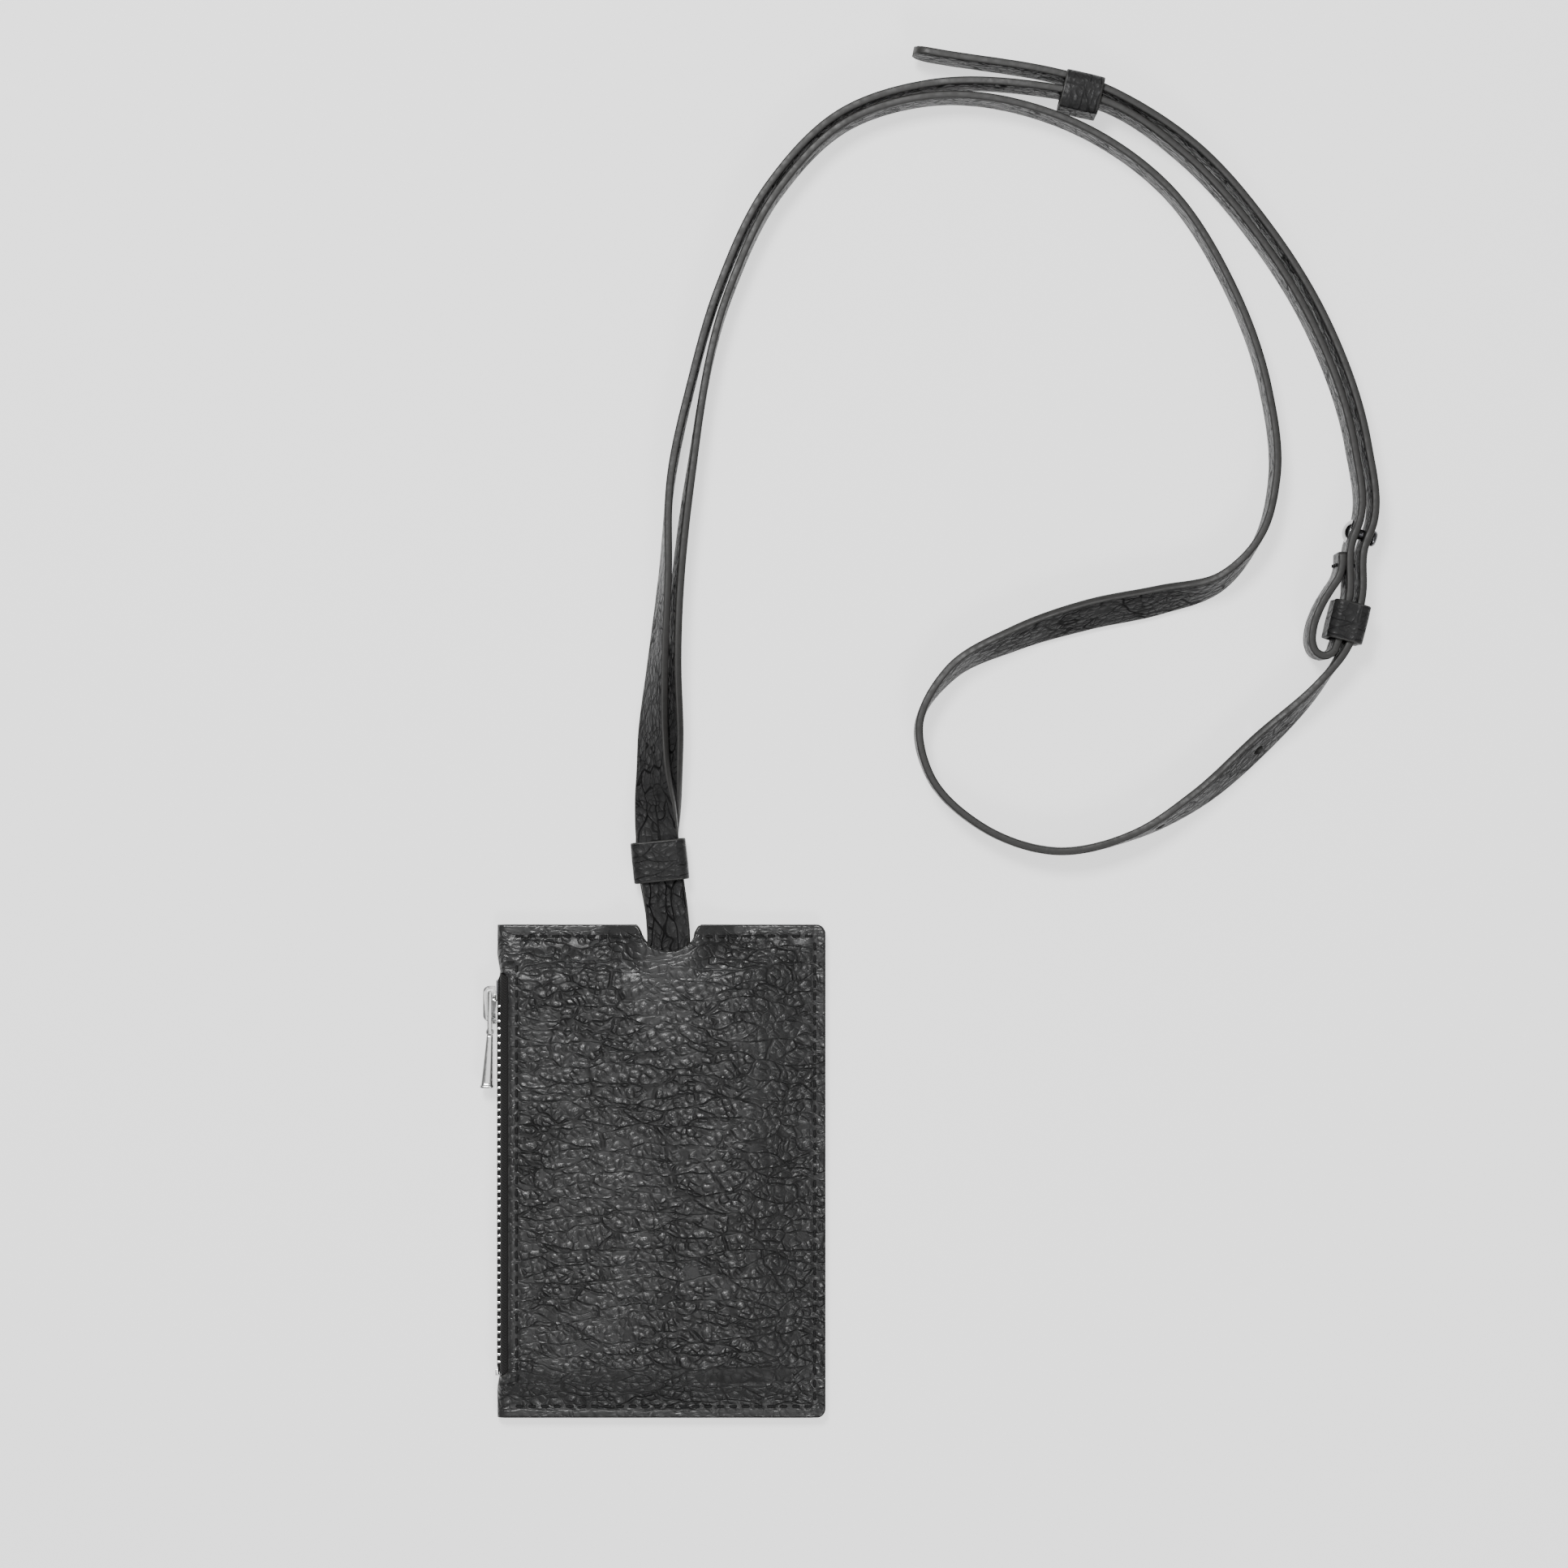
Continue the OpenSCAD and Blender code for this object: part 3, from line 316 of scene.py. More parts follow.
for name, share in (("grain", grain), ("pressed", on_bar)):
    mark = shell.data.attributes.new(name, "FLOAT", "POINT")
    mark.data.foreach_set("value", share.ravel().astype(np.float32))
shell.data.materials.append(pouch_leather)
shell.data.materials.append(edge_paint)
wall = shell.modifiers.new("leather", "SOLIDIFY")
wall.thickness = skin * MM
wall.offset = -1
wall.material_offset_rim = 1
wall.use_even_offset = True
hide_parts("outer_leather")
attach(shell, "pouch")


# --- Lining and divider ------------------------------------------------------
# A thin black twill lines both leathers. A sheet of split leather between them makes the two
# compartments; all three are sewn into the top, right and bottom edges with the outer leather.
def woven(name, colour, threads_per_mm, lift, across_share=1.0):
    """Plain black cloth: two crossed sets of sine threads, and a slow change of tone."""
    w = Wiring(name)
    place = w.add("TexCoord").outputs["Object"]
    part = w.add("SeparateXYZ", {0: place})
    rate = threads_per_mm * 1000 * 6.2832
    warp = w.math("SINE", w.math("MULTIPLY", part.outputs["X"], rate))
    weft = w.math("SINE", w.math("MULTIPLY", part.outputs["Y"], rate * across_share))
    weave = w.math("MULTIPLY", w.math("ADD", w.math("MULTIPLY", warp, weft), 1.0), 0.5)
    fuzz = w.add("TexNoise", {"Vector": place, "Scale": 900.0, "Detail": 3.0}).outputs["Fac"]
    tone = w.math("MULTIPLY", w.math("ADD", weave, fuzz), 0.5)
    shade = w.blend(tone, [c * 0.45 for c in colour] + [1], [c * 1.5 for c in colour] + [1])
    return w.finish(shade, 0.85, weave, lift, Sheen_Weight=0.15, Sheen_Roughness=0.5)


def give(node, material):
    """A CAD node takes this material in place of its own."""
    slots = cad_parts[node].data.materials
    slots.clear()
    slots.append(material)


lining_cloth = woven("lining_cloth", (0.02, 0.02, 0.021), 2.2, 0.00005)
split_leather = painted_edge("split_leather", (0.035, 0.033, 0.031))
give("front_lining", lining_cloth)
give("back_lining", lining_cloth)
give("divider", split_leather)


# --- Zip tapes ---------------------------------------------------------------
# Two black herringbone tapes, glued and sewn under the edges of the opening. Each lies flat under
# the leather and turns to stand upright in the opening, where its corded edge carries the teeth.
tape_mid_z, tape_x, tape_t = 4.1, -39.25, 0.4
tape_rows = spaced((49.6, 46, 0.6), (46, -47, 1.2), (-47, -50.6, 0.6))
tape_bend = 0.9


def tape_profile(top_z):
    """The tape's middle line across the zip: level from x = -30 to the bend, round a quarter circle,
    then straight down to the corded edge."""
    inner_x = tape_x + 0.4
    level = np.linspace(-30.0, inner_x + tape_bend, 10)
    turn = np.linspace(0, np.pi / 2, 7)[1:]
    upright = np.linspace(top_z - tape_bend, tape_mid_z + 0.85, 4)[1:]
    x = np.concatenate([level, inner_x + tape_bend - tape_bend * np.sin(turn), np.full(3, inner_x)])
    z = np.concatenate([np.full(10, top_z), top_z - tape_bend + tape_bend * np.cos(turn), upright])
    return x, z


def herringbone(name):
    """Zip tape: diagonal ribs that turn back at each narrow stripe along the tape."""
    w = Wiring(name)
    place = w.add("TexCoord").outputs["UV"]
    part = w.add("SeparateXYZ", {0: place})
    stripe = w.math("PINGPONG", part.outputs["X"], 0.0011)
    ribs = w.math("MULTIPLY", w.math("ADD", stripe, part.outputs["Y"]), 9500.0)
    rib = w.math("MULTIPLY", w.math("ADD", w.math("SINE", ribs), 1.0), 0.5)
    colour = w.blend(rib, (0.002, 0.002, 0.002, 1), (0.011, 0.0105, 0.0102, 1))
    return w.finish(colour, 0.85, rib, 0.00007, Sheen_Weight=0.06, Sheen_Roughness=0.5,
                    Specular_IOR_Level=0.25)


tape_cloth = herringbone("tape_cloth")
for side, node in ((1, "zip_tape_front"), (-1, "zip_tape_back")):
    tape_top = front_height(np.full_like(tape_rows, -34.0), tape_rows) - skin - 0.3
    line = [tape_profile(z if side > 0 else 2 * tape_mid_z - skin - 0.25) for z in tape_top]
    tx, tz = np.array([row[0] for row in line]), np.array([row[1] for row in line])
    tz = tz if side > 0 else 2 * tape_mid_z - tz
    grid = np.stack([tx, np.broadcast_to(tape_rows[:, None], tx.shape), tz], axis=-1)
    run = np.concatenate([[0], np.cumsum(np.hypot(np.diff(tx[0]), np.diff(tz[0])))])
    flat = np.stack(np.broadcast_arrays(run[None, :], tape_rows[:, None]), axis=-1)
    tape = grid_mesh(node + "_cloth", grid, uv=flat, flip=side > 0)
    tape.data.materials.append(tape_cloth)
    cloth = tape.modifiers.new("cloth", "SOLIDIFY")
    cloth.thickness = tape_t * MM
    cloth.offset = 0
    bead = np.linspace(0, 2 * np.pi, 13)[:-1]
    tucked = 0.75 * smooth((np.abs(tape_rows + 0.5) - 46.3) / 2.5)
    bead_x = tape_x - 0.18 + 0.45 * np.cos(bead) + tucked[:, None]
    bead_z = np.broadcast_to(tape_mid_z + side * (0.98 + 0.34 * np.sin(bead)), bead_x.shape)
    bead_grid = np.stack([bead_x, np.broadcast_to(tape_rows[:, None], bead_x.shape), bead_z], axis=-1)
    bead_flat = np.stack(np.broadcast_arrays(bead[None, :] * 0.4, tape_rows[:, None]), axis=-1)
    bead_flat = np.concatenate([bead_flat, bead_flat[:, :1] + [2.5, 0]], axis=1)
    cord_edge = grid_mesh(node + "_corded_edge", bead_grid, uv=bead_flat, wrap=True, caps=True,
                          flip=side > 0)
    cord_edge.data.materials.append(tape_cloth)
    for piece in (tape, cord_edge):
        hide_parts(node)
        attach(piece, "pouch")


# --- Zip teeth and stops -----------------------------------------------------
# Stamped nickel-plated teeth, clamped over the corded edge of each tape and meshing with the other
# side's. Two small blackened stops end the chain at the top and one bright stop at the bottom.
tooth_pitch, first_tooth, tooth_count = 1.8, 40.3, 49


def plated(name, colour, roughness, scratch=0.00001):
    """Plated metal: a mirror-like coat with faint long scratches and small cloudy patches."""
    w = Wiring(name)
    place = w.add("TexCoord").outputs["Object"]
    lines = w.add("Mapping", {"Vector": place, "Scale": (1.0, 0.12, 1.0)}).outputs[0]
    marks = w.add("TexNoise", {"Vector": lines, "Scale": 5200.0, "Detail": 3.0}).outputs["Fac"]
    clouds = w.add("TexNoise", {"Vector": place, "Scale": 520.0, "Detail": 2.0}).outputs["Fac"]
    rough = w.ramp(clouds, 0.35, 0.7, roughness * 0.75, roughness * 1.35)
    tone = w.blend(clouds, [c * 0.88 for c in colour] + [1], [min(c * 1.06, 1) for c in colour] + [1])
    return w.finish(tone, rough, marks, scratch, Metallic=1.0)


def many(name, shape, origins, frames, material):
    """Copies of one closed tube of rings, (ring, point, xyz) in millimetres: copy k is turned by its
    three axes frames[k] and moved to origins[k]. All the copies are one mesh."""
    rings, sides = shape.shape[:2]
    places = np.einsum("rsa,kab->krsb", shape, frames) + origins[:, None, None, :]
    index = np.arange(rings * sides).reshape(rings, sides)
    nxt = np.roll(index, -1, axis=1)
    quads = np.stack([index[:-1], nxt[:-1], nxt[1:], index[1:]], axis=-1).reshape(-1, 4)
    step = np.arange(len(origins)) * rings * sides
    faces = (quads[None] + step[:, None, None]).reshape(-1, 4).tolist()
    ends = np.stack([index[0, ::-1], index[-1]])
    faces += (ends[None] + step[:, None, None]).reshape(-1, sides).tolist()
    mesh = bpy.data.meshes.new(name)
    mesh.from_pydata((places.reshape(-1, 3) * MM).tolist(), [], faces)
    mesh.shade_smooth()
    mesh.materials.append(material)
    piece = bpy.data.objects.new(name, mesh)
    bpy.context.scene.collection.objects.link(piece)
    return piece


def tooth_shape():
    """A tooth as rings from its tip to the ends of its jaws: each ring is a rounded rectangle whose
    half width and half length come from the tooth's height."""
    high = np.array([-0.72, -0.66, -0.45, -0.1, 0.2, 0.55, 1.2, 1.5, 1.58])
    wide = np.array([0.3, 0.46, 0.52, 0.44, 0.5, 0.7, 0.72, 0.66, 0.42])
    long = np.array([0.18, 0.3, 0.36, 0.3, 0.34, 0.4, 0.38, 0.32, 0.2])
    angle = (np.arange(8) + 0.5) * np.pi / 4
    x = np.sign(np.cos(angle)) * np.abs(np.cos(angle)) ** 0.6
    y = np.sign(np.sin(angle)) * np.abs(np.sin(angle)) ** 0.6
    z = np.broadcast_to(high[:, None], (len(high), len(angle)))
    return np.stack([wide[:, None] * x, long[:, None] * y, z], axis=-1)


bright_metal = plated("bright_metal", (0.93, 0.93, 0.925), 0.2)
dark_metal = plated("dark_metal", (0.09, 0.09, 0.095), 0.28)
for side, node in ((1, "zip_teeth_front"), (-1, "zip_teeth_back")):
    ys = first_tooth - np.arange(tooth_count) * tooth_pitch - (0.9 if side < 0 else 0)
    spots = np.stack([np.full(tooth_count, tape_x), ys, np.full(tooth_count, tape_mid_z)], axis=-1)
    axes = np.broadcast_to(np.diag([float(side), 1.0, float(side)]), (tooth_count, 3, 3))
    teeth = many(node + "_row", tooth_shape(), spots, axes, bright_metal)
    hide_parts(node)
    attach(teeth, "pouch")


def eased(node, body, material, width):
    """The CAD node's own shape with its sharp edges rounded to width millimetres: a copy whose
    triangles are merged into whole faces, finished by a bevel."""
    form = bmesh.new()
    form.from_mesh(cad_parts[node].data)
    bmesh.ops.remove_doubles(form, verts=form.verts, dist=1e-6)
    bmesh.ops.dissolve_limit(form, angle_limit=0.01, verts=form.verts, edges=form.edges)
    mesh = bpy.data.meshes.new(node + "_finished")
    form.to_mesh(mesh)
    form.free()
    mesh.materials.clear()
    mesh.materials.append(material)
    mesh.shade_smooth()
    piece = bpy.data.objects.new(node + "_finished", mesh)
    bpy.context.scene.collection.objects.link(piece)
    edge = piece.modifiers.new("eased_edges", "BEVEL")
    edge.width = width * MM
    edge.segments = 3
    edge.limit_method = "ANGLE"
    edge.angle_limit = np.radians(40)
    edge.harden_normals = True
    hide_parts(node)
    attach(piece, body)
    return piece


eased("zip_top_stops", "pouch", dark_metal, 0.12)
eased("zip_bottom_stop", "pouch", bright_metal, 0.15)


# --- Slider, link and pull ---------------------------------------------------
# A die-cast slider of two wings joined by a post, with a bridge on its outer wing. A bent wire
# link hangs from the bridge and carries a plain cast pull that widens to a flat end.
cast_metal = plated("cast_metal", (0.42, 0.42, 0.417), 0.15)
eased("zip_slider", "slider", cast_metal, 0.22)
eased("pull_link", "link", cast_metal, 0.25)
link_x, pull_y, pull_long = -41.65, 34.0, 13.6


def rounded_box(angle, power):
    """Sine and cosine bent so that they go round a square with round corners, not a circle."""
    c, s = np.cos(angle), np.sin(angle)
    return np.sign(c) * np.abs(c) ** (2 / power), np.sign(s) * np.abs(s) ** (2 / power)


def pull_body():
    """Rings from the eye to the flat end: the side towards the zip is straight, the other side and
    the width grow evenly, and the last millimetre spreads into a lip."""
    below = np.array([0.55, 0.6, 0.8, 1.3, 2.5, 4.5, 6.5, 8.5, 10.5, 12.1, 12.6, 12.9, 13.1, 13.45,
                      13.58, 13.6])
    spread = np.array([0.5, 0.8, 0.95, 1, 1, 1, 1, 1, 1, 1, 1.0, 1.06, 1.12, 1.12, 1.0, 0.8])
    share = below / pull_long
    inner_x, outer_x = link_x + 0.75, link_x - 0.75 - 1.5 * share**1.15
    half_x, half_z = (inner_x - outer_x) / 2 * spread, (1.0 + 1.0 * share) * spread
    c, s = rounded_box(np.linspace(0, 2 * np.pi, 33)[:-1], 4.5)
    x = ((inner_x + outer_x) / 2)[:, None] + half_x[:, None] * c
    y = np.broadcast_to((pull_y - below)[:, None], x.shape)
    return np.stack([x, y, tape_mid_z + half_z[:, None] * s], axis=-1)


def pull_eye():
    """A round-cornered section carried round the link's lower bar."""
    turn = np.linspace(0, 2 * np.pi, 41)
    c, s = rounded_box(np.linspace(0, 2 * np.pi, 17)[:-1], 3.5)
    radius = 0.76 + 0.22 * c
    x = link_x + np.cos(turn)[:, None] * radius
    y = pull_y + np.sin(turn)[:, None] * radius
    return np.stack([x, y, np.broadcast_to(tape_mid_z + 0.95 * s, x.shape)], axis=-1)


for piece in (grid_mesh("pull_tab_body", pull_body(), wrap=True, caps=True),
              grid_mesh("pull_tab_eye", pull_eye(), wrap=True)):
    piece.data.materials.append(cast_metal)
    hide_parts("pull_tab")
    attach(piece, "tab")


# --- Stitching ---------------------------------------------------------------
# Waxed black polyester thread, lock-stitched at 3 mm: one row round the zip's opening and one
# round the other three edges. Each stitch bows up a little and dips into its two needle holes.
def stitch_shape(length=2.05, thick=0.32):
    """A stitch as rings along its length: the middle line is an arch that dips below the leather at
    both ends, and the thread is thinner where it goes in."""
    t = np.linspace(-1, 1, 9)
    angle = np.arange(6) * np.pi / 3
    middle = 0.13 - 0.42 * t**6
    radius = thick * (1 - 0.3 * t**6)
    x = np.broadcast_to((t * length / 2)[:, None], (9, 6))
    y = radius[:, None] * np.cos(angle)
    z = middle[:, None] + radius[:, None] * np.sin(angle) * 0.85
    return np.stack([x, y, z], axis=-1)


def stitch_row(start, end, pitch=3.05):
    """Middles and directions of the stitches between two points on the front, evenly spaced."""
    start, end = np.array(start, float), np.array(end, float)
    run = np.linalg.norm(end - start)
    count = max(int(round(run / pitch)), 1)
    share = (np.arange(count) + 0.5) / count
    return start + (end - start) * share[:, None], np.broadcast_to((end - start) / run, (count, 2))


def sew(name, rows, material):
    """Stitches on the front and on the back of every row. Each lies along the surface's own slope."""
    middles = np.concatenate([row[0] for row in rows])
    ways = np.concatenate([row[1] for row in rows])
    ahead, behind = middles + ways, middles - ways
    climb = (front_height(ahead[:, 0], ahead[:, 1]) - front_height(behind[:, 0], behind[:, 1])) / 2
    zero = np.zeros(len(middles))
    along = np.stack([ways[:, 0], ways[:, 1], climb], axis=-1)
    along /= np.linalg.norm(along, axis=1, keepdims=True)
    aside = np.stack([-ways[:, 1], ways[:, 0], zero], axis=-1)
    above = np.cross(along, aside)
    top = np.column_stack([middles, front_height(middles[:, 0], middles[:, 1]) - 0.13])
    under = np.column_stack([middles, zero + 0.3])
    level = np.stack([ways[:, 0], ways[:, 1], zero], axis=-1)
    down_axis = np.column_stack([zero, zero, zero - 1])
    front_axes = np.stack([along, aside, above], axis=1)
    back_axes = np.stack([level, -aside, down_axis], axis=1)
    return many(name, stitch_shape(), np.concatenate([top, under]),
                np.concatenate([front_axes, back_axes]), material)


def thread(name):
    """Waxed thread: fine slanting plies and a low satin shine."""
    w = Wiring(name)
    place = w.add("TexCoord").outputs["Object"]
    part = w.add("SeparateXYZ", {0: place})
    ply = w.math("ADD", part.outputs["X"], part.outputs["Y"])
    ply = w.math("SINE", w.math("MULTIPLY", w.math("ADD", ply, part.outputs["Z"]), 15000.0))
    ply = w.math("MULTIPLY", w.math("ADD", ply, 1.0), 0.5)
    colour = w.blend(ply, (0.003, 0.003, 0.003, 1), (0.012, 0.012, 0.0125, 1))
    return w.finish(colour, 0.75, ply, 0.00004, Specular_IOR_Level=0.2)


black_thread = thread("black_thread")
zip_rows = [stitch_row((seam_left, -51.5), (seam_left, 51.0)),
            stitch_row((-37.6, 51.0), (-35.3, 51.0)),
            stitch_row((-37.6, -51.5), (-35.3, -51.5))]
edge_rows = [stitch_row((-36, seam_end), (-6.65, seam_end)),
             stitch_row((10.25, seam_end), (seam_right, seam_end)),
             stitch_row((seam_right, 56.25), (seam_right, -56.25)),
             stitch_row((seam_right, -seam_end), (-36, -seam_end))]
zip_seam = sew("zip_seam_stitches", zip_rows, black_thread)
edge_seam = sew("edge_seam_stitches", edge_rows, black_thread)
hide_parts("zip_seam_thread")
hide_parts("edge_seam_thread")
for seam in (zip_seam, edge_seam):
    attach(seam, "pouch")


# --- Strap -------------------------------------------------------------------
# One long strap, two leathers glued back to back and 2 mm thick, with pebbled faces and painted
# edges. Its middle turns round the bar under the notch, so two legs leave the pouch: the short one
# ends in a loop sewn back on itself, and the long one runs on to the punched tail.
strap_w, strap_t = 10.4, 2.0
long_length, tip_long = 839.0, 4.0
turn_middle, turn_r = (1.8, 46.5, 4.1), 1.45

# Each point is x, y, z in metres, then the lean of the strap's width from upright, in degrees.
short_route = np.array([
    [0.0018, 0.0465, 0.00555, -90], [0.0018, 0.058, 0.00555, -90], [-0.001, 0.0825, 0.00555, -88],
    [-0.0013, 0.0885, 0.0058, -72], [-0.0017, 0.095, 0.0061, -52], [-0.0019, 0.107, 0.0055, -38],
    [-0.001, 0.121, 0.0053, -25], [0.001, 0.145, 0.0053, -11],
    [0.0024, 0.168, 0.0052, 0], [0.0072, 0.1908, 0.0052, 0], [0.0141, 0.2144, 0.0052, 0],
    [0.0265, 0.2396, 0.0052, 0], [0.0436, 0.2567, 0.0052, 0], [0.0655, 0.2638, 0.0052, 0],
    [0.087, 0.2635, 0.0066, 0], [0.11, 0.2582, 0.0066, 0], [0.1268, 0.2467, 0.0058, 0],
    [0.1443, 0.2274, 0.0052, 0], [0.1585, 0.2042, 0.0052, 0], [0.1678, 0.176, 0.0058, 0],
    [0.1691, 0.1584, 0.0063, 0], [0.167, 0.1523, 0.0064, 0], [0.1664, 0.1397, 0.0066, 0],
    [0.1635, 0.1283, 0.0066, 0], [0.1626, 0.1262, 0.0066, 0], [0.1605, 0.1253, 0.0066, 0],
    [0.1584, 0.1262, 0.0066, 0], [0.1575, 0.1283, 0.0066, 0], [0.1576, 0.1315, 0.0066, 0],
    [0.159, 0.136, 0.0066, 0], [0.1619, 0.1412, 0.0066, 0], [0.1637, 0.1439, 0.0066, 0],
    [0.1646, 0.1465, 0.0065, 0], [0.1648, 0.1502, 0.0064, 0]])
long_route = np.array([
    [0.0018, 0.0465, 0.00265, -90], [0.0018, 0.058, 0.00265, -90], [-0.001, 0.0825, 0.00265, -88],
    [-0.0002, 0.0885, 0.0029, -72], [0.0008, 0.095, 0.0041, -52], [0.0019, 0.107, 0.0049, -37],
    [0.0025, 0.121, 0.0052, -22], [0.007, 0.168, 0.0053, -6], [0.0165, 0.2135, 0.0052, 0],
    [0.0285, 0.238, 0.0052, 0], [0.045, 0.2545, 0.0052, 0], [0.066, 0.2608, 0.0052, 0],
    [0.0945, 0.2566, 0.0052, 0],
    [0.123, 0.2385, 0.0052, 0], [0.138, 0.2155, 0.0052, 0], [0.147, 0.19, 0.0052, 0],
    [0.149, 0.168, 0.0052, 0], [0.1455, 0.1545, 0.0053, -3], [0.136, 0.1435, 0.0053, -17],
    [0.121, 0.139, 0.0052, -33], [0.104, 0.1355, 0.0052, -35], [0.086, 0.1297, 0.0052, -26],
    [0.0705, 0.1215, 0.0053, -13], [0.0627, 0.109, 0.0052, 0], [0.0655, 0.096, 0.0052, 0],
    [0.077, 0.0845, 0.0052, 0], [0.096, 0.078, 0.0052, 0], [0.115, 0.082, 0.0053, 6],
    [0.13, 0.0905, 0.0052, 21], [0.146, 0.1045, 0.0052, 27], [0.16, 0.1185, 0.0056, 10],
    [0.1658, 0.127, 0.0066, 0], [0.1695, 0.1397, 0.0066, 0], [0.1701, 0.1513, 0.0064, 0],
    [0.1723, 0.1574, 0.0063, 0], [0.171, 0.1765, 0.0058, 0], [0.1615, 0.2055, 0.0052, 0],
    [0.147, 0.2293, 0.0052, 0], [0.129, 0.2492, 0.0058, 0], [0.1105, 0.261, 0.0066, 0],
    [0.0612, 0.272, 0.0066, 0]])


def run_along(points):
    """Distance along the straight stretches from the first point to each."""
    return np.concatenate([[0], np.cumsum(np.linalg.norm(np.diff(points, axis=0), axis=1))])


def smooth_line(route, step=1.0):
    """A smooth curve through the points: on each stretch the cubic that has the points' places and
    their slopes, which are the slopes of the parabolas through each three neighbours."""
    knots = route * np.array([1000, 1000, 1000, 1])
    at = run_along(knots[:, :3])
    slope = np.gradient(knots, at, axis=0)
    t = np.linspace(0, at[-1], int(at[-1] / step) + 1)
    k = np.clip(np.searchsorted(at, t, side="right") - 1, 0, len(at) - 2)
    width = (at[k + 1] - at[k])[:, None]
    f = (t[:, None] - at[k][:, None]) / width
    return (knots[k] * (2 * f**3 - 3 * f**2 + 1) + slope[k] * width * (f**3 - 2 * f**2 + f)
            + knots[k + 1] * (3 * f**2 - 2 * f**3) + slope[k + 1] * width * (f**3 - f**2))


def strap_axes(line):
    """Along each point of the line: the way the strap's width points and the way its face points.
    The width leans from upright towards the left of the run."""
    along = np.gradient(line[:, :3], axis=0)
    along /= np.linalg.norm(along, axis=1, keepdims=True)
    left = np.cross([0, 0, 1.0], along)
    left /= np.linalg.norm(left, axis=1, keepdims=True)
    up = np.cross(along, left)
    lean = np.radians(line[:, 3:4])
    return up * np.cos(lean) + left * np.sin(lean), left * np.cos(lean) - up * np.sin(lean)


def strap_section(width, thick, crown=0.08, edge=0.42):
    """A strap's section: slightly crowned faces, and edges that are flattened half ellipses."""
    face = np.linspace(-1, 1, 9)
    turn = np.linspace(np.pi / 2, -np.pi / 2, 7)[1:-1]
    half, flat = width / 2 - edge, thick / 2 - crown
    top_a, top_b = face * half, flat + crown * (1 - face**2)
    edge_a = half + edge * np.cos(turn) ** 0.45
    edge_b = flat * np.sign(np.sin(turn)) * np.abs(np.sin(turn)) ** 0.8
    a = np.concatenate([top_a, edge_a, -top_a, -edge_a])
    b = np.concatenate([top_b, edge_b, -top_b, -edge_b])
    return a, b


def leather_band(name, grid, run, a, edge_step, level, **ends):
    """A band of the strap's section over a grid of points. Its flat map is the run along it, and the
    width across it with the two edges let out by edge_step for each facet. The cells of the two
    rounded edges take the edge paint, and level is how bold the grain is."""
    edge = np.arange(1, 6) * edge_step
    around = np.concatenate([a[:9], a[8] + edge, 20 + a[:9], 28 + edge, [32]])
    flat = np.stack(np.broadcast_arrays(run[:, None], around[None, :]), axis=-1)
    piece = grid_mesh(name, grid, uv=flat, wrap=True, **ends)
    piece.data.materials.append(strap_leather)
    piece.data.materials.append(strap_edge)
    on_edge = np.zeros(len(a), int)
    on_edge[8:14] = 1
    on_edge[22:28] = 1
    marks = np.ones(len(piece.data.polygons), np.int32)
    marks[: (len(grid) - 1) * len(a)] = np.tile(on_edge, len(grid) - 1)
    piece.data.polygons.foreach_set("material_index", marks)
    bold = piece.data.attributes.new("grain", "FLOAT", "POINT")
    bold.data.foreach_set("value", np.full(len(piece.data.vertices), level, np.float32))
    return piece


def strap_piece(name, places, width_way, face_way, narrowing):
    """The section carried along the places, width and face axes; narrowing scales its width at each
    place."""
    a, b = strap_section(strap_w, strap_t)
    grid = (places[:, None] + width_way[:, None] * (a * narrowing[:, None])[..., None]
            + face_way[:, None] * b[None, :, None])
    return leather_band(name, grid, run_along(places), a, 0.5, 0.9, caps=True, flip=True)


strap_leather = pebbled_leather("strap_leather", "UV", painted_crease_shade, (0.019, 0.019, 0.0192, 1), 1.6,
                                lift=0.0003, gloss=0.06)
strap_edge = painted_edge("strap_edge", (0.0135, 0.0132, 0.0126))

short_line, long_line = smooth_line(short_route), smooth_line(long_route)
short_w, short_n = strap_axes(short_line)
long_w, long_n = strap_axes(long_line)
bend_angle = np.linspace(-np.pi / 2, np.pi / 2, 15)[:-1]
bend = np.column_stack([np.full(14, turn_middle[0]), turn_middle[1] - turn_r * np.cos(bend_angle),
                        turn_middle[2] + turn_r * np.sin(bend_angle)])
bend_n = np.column_stack([np.zeros(14), -np.cos(bend_angle), np.sin(bend_angle)])
bend_w = np.broadcast_to([1.0, 0, 0], (14, 3))
short_places = np.concatenate([bend, short_line[:, :3]])
short_leg = strap_piece("strap_short_leather", short_places, np.concatenate([bend_w, short_w]),
                        np.concatenate([bend_n, short_n]), np.ones(len(short_places)))
to_tip = np.linspace(0, 1, len(long_line))[::-1] * long_length
rounded = np.sqrt(np.maximum(1 - (1 - to_tip / tip_long) ** 2, 0))
tip = np.where(to_tip < tip_long, 0.35 + 0.65 * rounded, 1.0)
long_leg = strap_piece("strap_long_leather", long_line[:, :3], long_w, long_n, tip)
hole_d, hole_pitch, hole_count = 2.9, 30.0, 6
stud_stretch = 33  # the stud sits half-way between this point of the long route and the next


